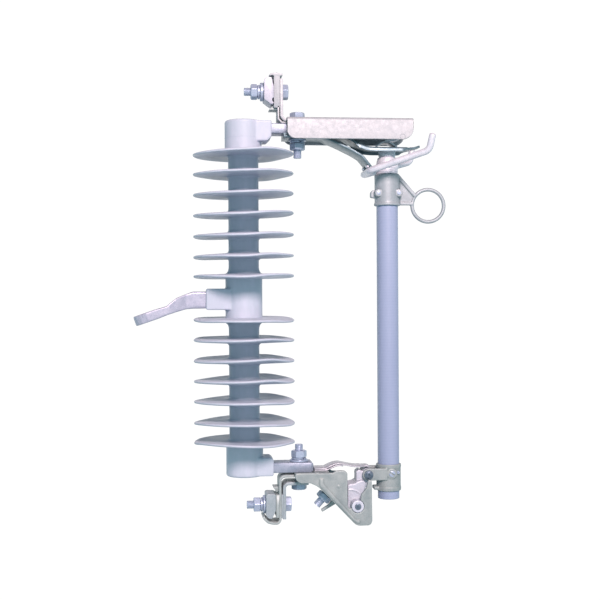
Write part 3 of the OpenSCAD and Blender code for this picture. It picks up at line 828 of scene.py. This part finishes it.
p = Piece("contact_blade")
cpf = fillet(cp, [0, 20, 18, 16, 14, 8, 10, 12, 0], 5)
dense = []
for a, b in zip(cpf[:-1], cpf[1:]):
    m = max(1, int((Vector(b) - Vector(a)).length / 2.5)) if a[0] > 120 else 1
    dense += [tuple(Vector(a).lerp(Vector(b), i / m)) for i in range(m)]
dense.append(cpf[-1])
rows = []
verts, faces = [], []
for x, z in dense:
    lo, hi = contact_y(x, z)
    drop = 0.0
    if 131 <= x <= 195.5:
        drop = min(1.0, (x - 131) / 8, (195.5 - x) / 4)
    rows.append((x, z, hi, drop))
nrm = []
for i in range(len(dense)):
    a, b = Vector(dense[max(0, i - 1)]), Vector(dense[min(len(dense) - 1, i + 1)])
    t = (b - a).normalized()
    nrm.append(Vector((-t.y, t.x)))
for (x, z, h, d), nn in zip(rows, nrm):
    prof = []
    lip = 3.2 * d
    w = h + 2.3 * d
    # across the strip: centre flat, edges rolled down
    half_o = [(h - 1.2, 1.25), (h + 0.6 * d, 1.25 - 0.25 * d), (h + 1.7 * d, 1.25 - 1.0 * d), (w, 1.0 - 2.4 * d), (w, -1.0 - lip)]
    half_i = [(w - 1.7 * d - 0.4, -1.25 - lip), (h - 0.4 + 0.2 * d, -1.6 * d - 1.25), (h - 1.6, -1.25)]
    loop = [(y, v) for y, v in half_o] + [(y, v) for y, v in half_i]
    full = [(y, v) for y, v in loop] + [(-y, v) for y, v in reversed(loop)]
    for y, v in full:
        verts.append((x + nn.x * v, y, z + nn.y * v))
n = 16
for k in range(len(rows) - 1):
    for i in range(n):
        j = (i + 1) % n
        faces.append((k * n + i, k * n + j, (k + 1) * n + j, (k + 1) * n + i))
for base in (0, (len(rows) - 1) * n):
    for i in range(7):
        faces.append((base + i, base + i + 1, base + n - 2 - i, base + n - 1 - i))
p.add(verts, faces, "strip")
p.make(["top_contact_strip"], angle=40)

p = Piece("contact_springs")
p.sheet([(150, 208.4), (184, 208.4), (192, 204.5), (194, 198), (190, 192.5), (182, 189.4), (170, 188.6)], 1.8, -10, 10, "rod", 7, 0.4, n=6)
p.sheet([(159, 180.95), (163, 184.2), (168, 187.1), (175, 187.1), (180, 184.2), (184.5, 180.95)], 1.8, -10, 10, "rod", 5, 0.4, n=6)
p.make(["top_contact_spring"])

ap = [(47, 191.5), (94, 191.5), (116, 182), (131, 174.6), (141, 168.8), (146.3, 162.3), (153.6, 153.2)]
p = Piece("arrester_arm")
p.sheet(ap, 3, -18.5, 18.5, "strip", [0, 14, 40, 30, 14, 20, 0], 0.7, n=6)
p.make(["horn_arm"])

# splayed rod with turned-up ends
splay = math.radians(24)


def horn_pts(sign):
    """Centre line of one side, in the rod's tilted plane."""
    pts = [(0, 0, 0)]
    pts += [(0, 6 * i, 0) for i in (1, 2, 3)]
    R = 9
    c = (9, 19)
    for i in range(1, 9):
        a = PI - (PI / 2 - splay) * i / 8
        pts.append((c[0] + R * math.cos(a), c[1] + R * math.sin(a), 0))
    d = Vector((math.cos(splay), math.sin(splay), 0))
    e = Vector(pts[-1])
    for i in range(1, 11):
        q = e + d * 63 * i / 10
        pts.append(tuple(q))
    e = Vector(pts[-1])
    for i in range(1, 9):
        a = math.radians(60) * i / 8
        pts.append(tuple(e + d * (10 * math.sin(a)) + Vector((0, 0, 10 * (1 - math.cos(a))))))
    e = Vector(pts[-1])
    u = d * math.cos(math.radians(60)) + Vector((0, 0, math.sin(math.radians(60))))
    for i in (1, 2, 3):
        pts.append(tuple(e + u * 12.1 * i / 3))
    return [(x, sign * y, z) for x, y, z in pts]


mt = Matrix.Translation((148.7, 0, 150.6)) @ Matrix.Rotation(math.radians(-17.5), 4, "Y")
line = [tuple(mt @ Vector(q)) for q in horn_pts(-1)[::-1] + horn_pts(1)[1:]]
p = Piece("arcing_horn")
p.rod(line, 4.0, "rod", 24)
# weld fillets where the rod meets the arm
for y in (-13, 13):
    p.rod([(147.6, y - 5.5, 156.2), (147.2, y, 156.4), (147.6, y + 5.5, 156.2)], 2.2, "rod", 12, rr=lambda i: (1.2, 2.2, 1.2)[i])
p.make(["horn_hooks"])

# --- upright bolts ---------------------------------------------------------
V = at(65, 0, 0)
p = Piece("top_fixing_screw")
p.thread(5, 167.4, 184.9, "bolt", V)
p.lathe([(0, 184.9), (4.95, 184.9), (4.95, 216), (0, 216)], "bolt", V, 32)
p.hexagon(16.5, 215, 222, "bolt", V, math.radians(12), bottom=False)
p.make(["top_fixing_bolt"])
p = Piece("top_fixing_hexnut")
p.hexagon(16.5, 177, 185.1, "bolt", V, math.radians(8), hole=4.6)
p.make(["top_fixing_nut"])
p = Piece("top_fixing_rings")
p.ring(5.2, 10.5, 213.1, 215, "bolt", V, 0.4)
p.ring(5.2, 10.5, 188, 189.9, "bolt", V, 0.4)
p.spring_washer(5.3, 8.8, 185.2, 187.8, "bolt", V, 14, math.radians(-70))
p.make(["top_fixing_washers"])

p = Piece("bottom_fixing_screw")
p.thread(5, -175.2, -192, "bolt", V)
p.lathe([(0, -226), (4.95, -226), (4.95, -192), (0, -192)], "bolt", V, 32)
p.hexagon(16.5, -229.1, -222.2, "bolt", V, math.radians(10), top=False)
p.make(["bottom_fixing_bolt"])
p = Piece("bottom_fixing_hexnut")
p.hexagon(16.5, -191, -182.4, "bolt", V, math.radians(4), hole=4.6)
p.make(["bottom_fixing_nut"])
p = Piece("bottom_fixing_rings")
p.ring(5.2, 11, -195.4, -193.4, "bolt", V, 0.4)
p.spring_washer(5.3, 9, -193.3, -191.1, "bolt", V, 14, math.radians(-60))
p.make(["bottom_fixing_washers"])

# --- hinge casting ---------------------------------------------------------
PA, PB = (147.0, -211.5), (132.0, -246.6)
slot_in = (PB[0] + 7.6 * -0.963, PB[1] + 7.6 * -0.270)
slot_out = (PB[0] + 7.6 * 0.469, PB[1] + 7.6 * 0.883)
raw = [(58, -206.1), (85, -206.1), (87, -206.6), (103, -206.4), (105.8, -204.3), (111.2, -203.7), (117.4, -204.4), (119.8, -207.3), (119.8, -245.1), (122, -248.9)]
rad = [3, 0, 2, 1.5, 2, 3, 3, 2, 2, 1]
seat = arc(PB[0], PB[1], 7.6, 195.7, 422, 24)
tail = [(136, -233.3), (142.5, -225.3), (144.6, -215.9), (148.9, -215.9), (149.4, -264.7), (147.8, -268), (145, -269.5), (133.4, -269.6), (129.5, -268.2), (126.6, -265.5),
        (104.2, -242), (86.7, -224.1), (82.7, -221.3), (76, -218.2), (64.9, -218.2), (60, -215.5), (58, -212)]
outline = fillet(raw + seat + tail, rad + [0] * len(seat) + [4, 6, 1.2, 1.2, 2, 2, 2, 2, 2, 2, 6, 3, 3, 2, 1.5, 1.5, 1.5], 4, True)
back = fillet([(58, -206.1), (85, -206.1), (90, -208.4), (104, -209), (108, -211.8), (117, -212.2), (119.8, -215), (119.8, -245.1), (122, -248.9)] + seat + tail,
              [3, 2, 4, 3, 3, 3, 2, 2, 1] + [0] * len(seat) + [4, 6, 1.2, 1.2, 2, 2, 2, 2, 2, 2, 6, 3, 3, 2, 1.5, 1.5, 1.5], 4, True)
p = Piece("hinge_frame")
p.prism(outline, -27, -22, "cast", 0.9, 2)
p.prism(back, 22, 27, "cast", 0.9, 2)
p.prism([(58.4, -207.5), (81.5, -207.5), (81.5, -206.1), (99, -206.1), (99, -212), (92, -218.5), (88.5, -224.5), (86.7, -224.1), (82.7, -221.3), (76, -218.2), (64.9, -218.2), (60, -215.5), (58.4, -212)], -22.5, 22.5, "cast", 0.2)
p.prism([(86.7, -224.1), (110.5, -248.6), (113.6, -245.5), (92.5, -222.4), (96, -212), (86.4, -212)], -22.5, 22.5, "cast", 0.2)
p.prism([(105.9, -241.3), (109.5, -245), (107.8, -248.3), (92.5, -256.9), (91.2, -254.2), (100.2, -248.4)], -3, 3, "cast", 0.6)
# raised rib along the foot of each plate, step at the arm, small boss
rib = fillet([(86.9, -213.0), (86.9, -221.6), (127.8, -264.2), (131.2, -266.3), (134, -266.6), (134.4, -262.9), (131.2, -262.6), (128.8, -261.3), (91.0, -219.0), (91.0, -213.0)], [1, 4, 3, 2, 1.5, 1.5, 2, 3, 3, 1], 4, True)
for s in (-1, 1):
    lo, hi = sorted((s * 26.0, s * 28.3))
    p.prism(rib, lo, hi, "cast", 0.8, 2)
    p.lathe([(0, 0), (1.5, 0), (1.3, 0.5), (0, 0.6)], "cast", Matrix.Translation((109.4, s * 26.9, -222.4)) @ Matrix.Rotation(-s * PI / 2, 4, "X"), 16)
p.make(["hinge_casting"], remesh=0.62, smooth=2)

SM = Matrix.Translation((97.9, 0, -235.8)) @ Matrix.Rotation(math.radians(-138), 4, "Y")
p = Piece("grounding_stud")
p.lathe([(0, -5), (4.65, -5), (4.65, 8.2), (0, 8.2)], "bolt", SM, 32)
p.thread(4.7, 17.8, 8.2, "bolt", SM, pitch=1.5, depth=0.5)
p.make(["hinge_stud"])
p = Piece("grounding_nut")
p.hexagon(16, 0.9, 8.5, "bolt", SM, math.radians(14), hole=4.5)
p.make(["hinge_stud_nut"])

p = Piece("lower_leaves")
p.sheet([(82.5, -205.3), (97.6, -205.3), (103.4, -202.6), (107.5, -200.9), (112.6, -200.0), (117, -200.8)], 1.5, -12, 12, "leaf", [0, 5, 6, 6, 5, 0], 0.35, n=6)
lf = fillet([(82.5, -203.6), (96, -203.6), (101.8, -200.9), (106.4, -199.0), (112.4, -198.1), (119.6, -199.7), (126.8, -201.3), (134.1, -202.2), (141, -202.2), (146.6, -202.0), (149.8, -203.0)], [0, 5, 6, 6, 8, 10, 10, 8, 6, 4, 0], 6)
dn = []
for a, b in zip(lf[:-1], lf[1:]):
    m = max(1, int((Vector(b) - Vector(a)).length / 1.0)) if a[0] > 132 else 1
    dn += [tuple(Vector(a).lerp(Vector(b), i / m)) for i in range(m)]
dn.append(lf[-1])


def leaf_y(x, z):
    h = 12 - 3.0 * min(1, max(0, (x - 137.5) / 4)) - max(0, x - 148.4) ** 2 * 1.0
    return -h, h


p.prism(shift(dn, 0.75) + shift(dn, -0.75)[::-1], -12, 12, "leaf", 0.35, 2, leaf_y)
p.make(["lower_contact_strips"])

# --- lower terminal --------------------------------------------------------
p = Piece("bottom_terminal_plate")
p.sheet([(75, -220.2), (49.5, -220.2), (46.2, -223.4), (46.2, -262.2)], 3.6, -15, 15, "sadl", 4.0, 0.5)
p.prism([(42.7, -233), (44.6, -233), (44.6, -261), (42.7, -261)], -14.4, 14.4, "sadl", 0.3)
p.make(["bottom_terminal_outer"])
p = Piece("bottom_terminal_hook")
p.sheet([(57.9, -211.4), (44.5, -211.4), (41.2, -214.6), (41.2, -263.4), (38.6, -266.9), (33, -266.9), (26.8, -265.4), (22.2, -260.9), (21.2, -258.8)], 2.8, -15, 15, "cast", [0, 5, 5, 4, 5, 6, 6, 3, 0], 0.5, n=5)
p.prism(fillet([(32.4, -224.3), (41.2, -224.3), (41.2, -229.6), (37, -230.6), (35, -227.2)], 0.7, 3, True), -9, 9, "cast", 0.5)
p.prism(fillet([(36.2, -233), (41.2, -233), (41.2, -260), (36.2, -260)], 0.6, 3, True), -15, 15, "cast", 0.6)
p.make(["bottom_terminal_inner"])

# --- trunnion --------------------------------------------------------------
p = Piece("trunnion_casting", "trunnion")
p.prism(fillet([(121.8, -245.2), (121.8, -222.8), (130.5, -221.5), (133.5, -219.5), (138.9, -217.9), (141.6, -218.8), (143.8, -221.8), (143.6, -225.9), (141.3, -230.7), (137.9, -235.4), (136.6, -240), (139, -247), (136, -252.6), (128, -252.6)],
               [4, 1.6, 3, 3, 2.4, 2, 2.4, 3, 4, 4, 3, 3, 4, 4], 4, True), -15, 15, "trun", 1.1, 3)
# raised rims across the front and back of the block
for y in (-15, 15):
    p.rod([(123.0, y, -229.0), (127.5, y, -228.6), (132.5, y, -230.4), (136.8, y, -233.4)], 0.7, "trun", 10)
    p.lathe(round_prof(10.5, -1.0, 1.0, 0.8), "trun", Matrix.Translation((PB[0], y * 0.94, PB[1])) @ Matrix.Rotation(PI / 2, 4, "X"), 48)
p.prism(fillet([(128, -224), (133, -219.4), (133, -208.5), (136.6, -205.9), (142, -208.5), (153.6, -213), (149.4, -224), (139, -232)], [2, 3, 1.5, 2, 3, 2, 4, 4], 4, True), -9, 9, "trun", 1.2, 3)
p.lathe(round_prof(6.9, -9, 9, 1.0), "trun", along_y(*PA), 40)
p.lathe(round_prof(7.3, -28.4, 28.4, 0.8), "trun", along_y(*PB), 48)
p.make(["trunnion"], remesh=0.6, smooth=3)

p = Piece("pivot_pin", "trunnion")
p.lathe([(0, -29.6), (2.7, -29.6), (3.5, -29.3), (3.8, -28.8), (3.8, 28.8), (3.5, 29.3), (2.7, 29.6), (1.2, 29.5), (0.9, 28.9), (0, 28.8)], "pin", along_y(*PB), 32)
p.make(["trunnion_pin"])
p = Piece("toggle_rivet", "trunnion")
p.lathe([(0, -18.6), (3.0, -18.6), (3.6, -18.3), (3.7, -17.6), (5.2, -17.3), (5.4, -17.0), (5.4, -15.9), (5.1, -15.6), (3.6, -15.6), (3.6, 15.6), (5.1, 15.6), (5.4, 15.9), (5.4, 17.0), (5.2, 17.3), (3.7, 17.6), (3.6, 18.3), (3.0, 18.6), (1.4, 18.5), (1.0, 17.9), (0, 17.8)], "pin", along_y(*PA), 36)
p.make(["toggle_pin"])

# --- fuse holder -----------------------------------------------------------
TX = 173.8
p = Piece("fuse_barrel", "fuse_holder")
TM = at(TX, 0, 0)
zs = [-242.3 + (149 + 242.3) * i / 60 for i in range(61)]
body = [(8.5, -241.6), (9.0, -242.3), (12.3, -242.3), (12.85, -242.0), (13.0, -241.4)] + [(13.0, z) for z in zs[1:-1]] + [(12.6, 149), (9, 149), (8.5, 148.5)]
p.lathe(body, "tube", TM, 64)
p.lathe([(8.5, 148.5), (8.5, -241.6)], "bore", TM, 64)
p.make(["fuse_tube"], angle=40)


def slotted(q, m, r, h, mat="bolt", turn=0.3, slot=0.5):
    """A round screw head with a driver slot, standing on local Z = 0."""
    n = 36
    w = r * slot * 0.5
    verts, faces, mid = [], [], []
    d = h * 0.45
    for s in (-1, 1):
        pts = []
        a0 = math.asin(w / (r * 0.98))
        for i in range(n // 2 + 1):
            a = a0 + (PI - 2 * a0) * i / (n // 2)
            pts.append((math.cos(a), math.sin(a)))
        k = len(verts)
        for rr, zz in ((1.0, 0.0), (1.0, h * 0.7), (0.93, h * 0.92), (0.8, h)):
            for cx, cy in pts:
                verts.append((r * rr * cx, s * max(w, r * rr * cy), zz))
        m_ = len(pts)
        for a in range(3):
            for i in range(m_ - 1):
                f = (k + a * m_ + i, k + a * m_ + i + 1, k + (a + 1) * m_ + i + 1, k + (a + 1) * m_ + i)
                faces.append(f if s > 0 else f[::-1])
        f = tuple(k + 3 * m_ + i for i in range(m_))
        faces.append(f if s > 0 else f[::-1])
        f = tuple(k + i for i in range(m_))
        faces.append(f[::-1] if s > 0 else f)
        f = (k, k + m_, k + 2 * m_, k + 3 * m_, k + 4 * m_ - 1, k + 3 * m_ - 1, k + 2 * m_ - 1, k + m_ - 1)
        faces.append(f[::-1] if s > 0 else f)
    rot = Matrix.Rotation(turn, 4, "Z")
    q.add(verts, faces, mat, m @ rot)
    q.lathe([(0, 0), (r * 0.94, 0), (r * 0.94, h - d), (0, h - d)], mat, m, 32)


def front(x, y, z):
    """Local Z points to the front from that depth."""
    return Matrix.Translation((x, y, z)) @ Matrix.Rotation(PI / 2, 4, "X")


p = Piece("lower_clamp_casting", "fuse_holder")
p.lathe([(12.95, -232.4), (14.5, -232.4), (15.1, -231.8), (15.1, -228.2), (14.7, -227.4), (14.7, -205.0), (15.1, -204.2), (15.1, -201.0), (14.6, -200.4), (12.95, -200.4)], "cast", TM, 72, ring=True)
for s in (-1, 1):
    lo, hi = sorted((s * 10, s * 15.1))
    arm = fillet([(PA[0], PA[1] + 7.1), (TX - 2, PA[1] + 7.1), (TX - 2, PA[1] - 7.1), (PA[0], PA[1] - 7.1)] , 0, 3, True)
    lug = arc(PA[0], PA[1], 7.1, 90, 270, 16) + [(TX - 4, PA[1] - 7.1), (TX - 4, PA[1] + 7.1)]
    p.prism(lug, lo, hi, "cast", 0.8, 2)
p.prism(fillet([(155, -226.9), (TX - 8, -226.9), (TX - 8, -231.2), (155, -231.2)], 1.0, 3, True), -8, 8, "cast", 0.9, 2)
p.lathe(round_prof(6.0, 0, 1.9, 0.5), "cast", front(TX + 1.8, -13.3, -211), 32)
for s in (1,):
    p.lathe(round_prof(5.4, 0, 2.2, 0.5), "cast", Matrix.Translation((TX + 1.8, 13.1, -211)) @ Matrix.Rotation(-PI / 2, 4, "X"), 32)
p.make(["lower_ferrule"], remesh=0.5, smooth=2)
p = Piece("lower_clamp_screws", "fuse_holder")
slotted(p, front(TX + 1.8, -13.4, -211), 3.8, 2.8, turn=-0.6)
slotted(p, front(TX + 9.5, -10.8, -209.8), 1.9, 2.6, turn=0.4)
p.make(["lower_ferrule_screws"])

p = Piece("upper_clamp_casting", "fuse_holder")
p.lathe([(12.95, 110.8), (15.4, 110.8), (15.9, 111.4), (15.9, 113.2), (15.3, 114.0), (15.1, 116), (15.1, 143.5), (15.3, 146.2), (15.0, 148.3), (14.4, 149), (12.95, 149)], "castu", TM, 72, ring=True)
for x in (-12.3, 12.3):
    for s in (-1, 1):
        p.lathe(round_prof(4.5, 0, 12.5, 0.8), "castu", Matrix.Translation((TX + x, 0, 125.6)) @ Matrix.Rotation(s * PI / 2, 4, "X"), 32)
web = [(TX + 10, 147), (187.6, 147.2), (208, 123.6), (204, 113.5), (TX + 10, 113.5)]
p.prism(web, -1.6, 1.6, "castu", 0.3)
p.prism(fillet([(TX + 10, 148.2), (188.6, 148.2), (210.5, 123), (207.3, 120.5), (187, 143.6), (TX + 10, 143.6)], [0, 1.5, 1, 1, 2, 0], 3, True), -3.2, 3.2, "castu", 0.9, 2)
p.prism(fillet([(TX + 10, 115.4), (206, 115.4), (206, 111.6), (TX + 10, 111.6)], 0.6, 3, True), -3.2, 3.2, "castu", 0.9, 2)
p.prism(fillet([(153, 120.6), (160.5, 119.6), (160.5, 129.6), (156, 129.8), (153.3, 127)], [1.6, 1, 1, 1.6, 1.6], 3, True), -4, 4, "castu", 1.0, 2)
ringp = []
for i in range(16):
    a = 2 * PI * i / 16
    ringp.append((19.5 + 2.3 * math.cos(a), 2.75 * math.sin(a)))
p.lathe(ringp, "castu", Matrix.Translation((224, 0, 111.2)) @ Matrix.Rotation(PI / 2, 4, "X"), 96, ring=True)
p.make(["upper_ferrule"], remesh=0.5, smooth=2)
p = Piece("upper_clamp_screws", "fuse_holder")
for x, tr in ((-12.3, 0.5), (12.3, -0.9)):
    slotted(p, front(TX + x, -12.3, 125.6), 2.3, 0.9, turn=tr)
    p.lathe(round_prof(2.3, 0, 0.8, 0.3), "bolt", Matrix.Translation((TX + x, 12.2, 125.6)) @ Matrix.Rotation(-PI / 2, 4, "X"), 24)
p.make(["upper_ferrule_screws"])

# knurled contact cap
p = Piece("contact_button", "fuse_holder")


def knurl(a, r, z):
    if 171.0 < z < 175.4:
        return r - 0.45 * (0.5 + 0.5 * math.cos(a * 30)), z
    return r, z


cap = [(0, 149.05), (13.0, 149.05), (13.2, 149.4), (13.2, 150.2), (12.7, 150.6), (12.7, 151.2), (13.2, 151.6), (13.2, 152.2), (12.7, 152.6), (12.7, 153.2), (13.2, 153.6), (13.2, 155.2),
       (13.9, 155.9), (14.0, 156.7), (13.7, 158.4), (12.9, 162), (12.3, 164.6), (11.5, 167.6), (11.0, 168.6), (9.6, 169.3), (9.4, 169.7), (9.6, 170.2), (10.1, 170.5), (10.3, 171.1), (10.3, 172.5), (10.3, 174), (10.3, 175.3),
       (10.2, 175.9), (9.7, 176.6), (8.8, 177.15), (7.0, 177.35), (0, 177.35)]
p.lathe(cap, "rod", TM, 180, rf=knurl)
p.make(["fuse_cap"], angle=28)

# --- stage, light, camera --------------------------------------------------
def plain(name, c, strength=0.0, rough=0.9):
    m = bpy.data.materials.new(name)
    m.use_nodes = True
    b = m.node_tree.nodes["Principled BSDF"]
    b.inputs["Base Color"].default_value = c + (1.0,)
    b.inputs["Roughness"].default_value = rough
    b.inputs["Emission Color"].default_value = (1, 1, 1, 1)
    b.inputs["Emission Strength"].default_value = strength
    return m


def stage_mesh(name, verts, faces, mat):
    me = bpy.data.meshes.new(name)
    me.from_pydata(verts, [], faces)
    me.materials.append(mat)
    o = bpy.data.objects.new(name, me)
    bpy.context.scene.collection.objects.link(o)
    me.polygons.foreach_set("use_smooth", [True] * len(me.polygons))
    return o


FLOOR = -1.5
CX, CY = 0.17, 0.0
nseg = 96
ringsv = [(3.0, FLOOR), (3.25, FLOOR + 0.02), (3.42, FLOOR + 0.1), (3.5, FLOOR + 0.25), (3.5, 1.5)]
verts = [(CX, CY, FLOOR)]
for r, z in ringsv:
    for i in range(nseg):
        a = 2 * PI * i / nseg
        verts.append((CX + r * math.cos(a), CY + r * math.sin(a), z))
floor_faces = [(0, 1 + i, 1 + (i + 1) % nseg) for i in range(nseg)]
wall_faces = []
for k in range(len(ringsv) - 1):
    for i in range(nseg):
        j = (i + 1) % nseg
        wall_faces.append((1 + k * nseg + i, 1 + k * nseg + j, 1 + (k + 1) * nseg + j, 1 + (k + 1) * nseg + i))
WALL, WALL_FRONT = 1.03, 0.70
stage_mesh("pale_floor", verts[:1 + nseg], floor_faces, plain("pale_floor", (0.72, 0.80, 0.80), 0.02))
wall = plain("pale_backdrop", (0.0, 0.0, 0.0), 1.0)
wt = wall.node_tree
tc = wt.nodes.new("ShaderNodeTexCoord")
sx = wt.nodes.new("ShaderNodeSeparateXYZ")
mr = wt.nodes.new("ShaderNodeMapRange")
mr.interpolation_type = "SMOOTHSTEP"
for k_, v_ in (("From Min", 1.5), ("From Max", 3.1), ("To Min", WALL_FRONT), ("To Max", WALL)):
    mr.inputs[k_].default_value = v_
wt.links.new(tc.outputs["Object"], sx.inputs[0])
wt.links.new(sx.outputs["Y"], mr.inputs["Value"])
cr = wt.nodes.new("ShaderNodeValToRGB")
cr.color_ramp.elements[0].color = (0.64, 0.93, 0.99, 1.0)
cr.color_ramp.elements[0].position = 0.0
cr.color_ramp.elements[1].color = (1.0, 1.0, 1.0, 1.0)
wt.links.new(mr.outputs["Result"], wt.nodes["Principled BSDF"].inputs["Emission Strength"])
ms = wt.nodes.new("ShaderNodeMapRange")
for k_, v_ in (("From Min", WALL_FRONT), ("From Max", WALL)):
    ms.inputs[k_].default_value = v_
wt.links.new(mr.outputs["Result"], ms.inputs["Value"])
wt.links.new(ms.outputs["Result"], cr.inputs["Fac"])
wt.links.new(cr.outputs["Color"], wt.nodes["Principled BSDF"].inputs["Emission Color"])
stage_mesh("pale_backdrop", verts, wall_faces, wall)

sc = bpy.context.scene
w = bpy.data.worlds.new("studio")
sc.world = w
w.use_nodes = True
w.node_tree.nodes["Background"].inputs["Color"].default_value = (0.75, 0.8, 1.0, 1.0)
w.node_tree.nodes["Background"].inputs["Strength"].default_value = 0.16


def area_light(name, loc, target, size, power, col=(1, 1, 1)):
    d = bpy.data.lights.new(name, "AREA")
    d.shape = "RECTANGLE"
    d.size, d.size_y = size
    d.energy = power
    d.color = col
    o = bpy.data.objects.new(name, d)
    sc.collection.objects.link(o)
    o.location = loc
    o.rotation_euler = (Vector(target) - Vector(loc)).to_track_quat("-Z", "Y").to_euler()
    return o


mid = (0.18, 0, 0.02)
area_light("key", (0.3, -2.15, 1.25), mid, (0.8, 0.6), 96, (1.0, 0.76, 0.74))

cam = bpy.data.cameras.new("camera")
cam.lens = 64.5
cam.sensor_width = 36
cam.clip_start, cam.clip_end = 0.05, 20
cam.shift_y = -2 / 600
co = bpy.data.objects.new("camera", cam)
sc.collection.objects.link(co)
co.location = (0.0459, -1.2834, 0.0257)
co.rotation_mode = "XYZ"
co.matrix_world = Matrix.Translation((0.0459, -1.2834, 0.0257)) @ Matrix.Rotation(math.radians(-5.8), 4, "Z") @ Matrix.Rotation(PI / 2, 4, "X") @ Matrix.Rotation(math.radians(-0.3), 4, "Z")
sc.camera = co
sc.view_settings.view_transform = "Standard"
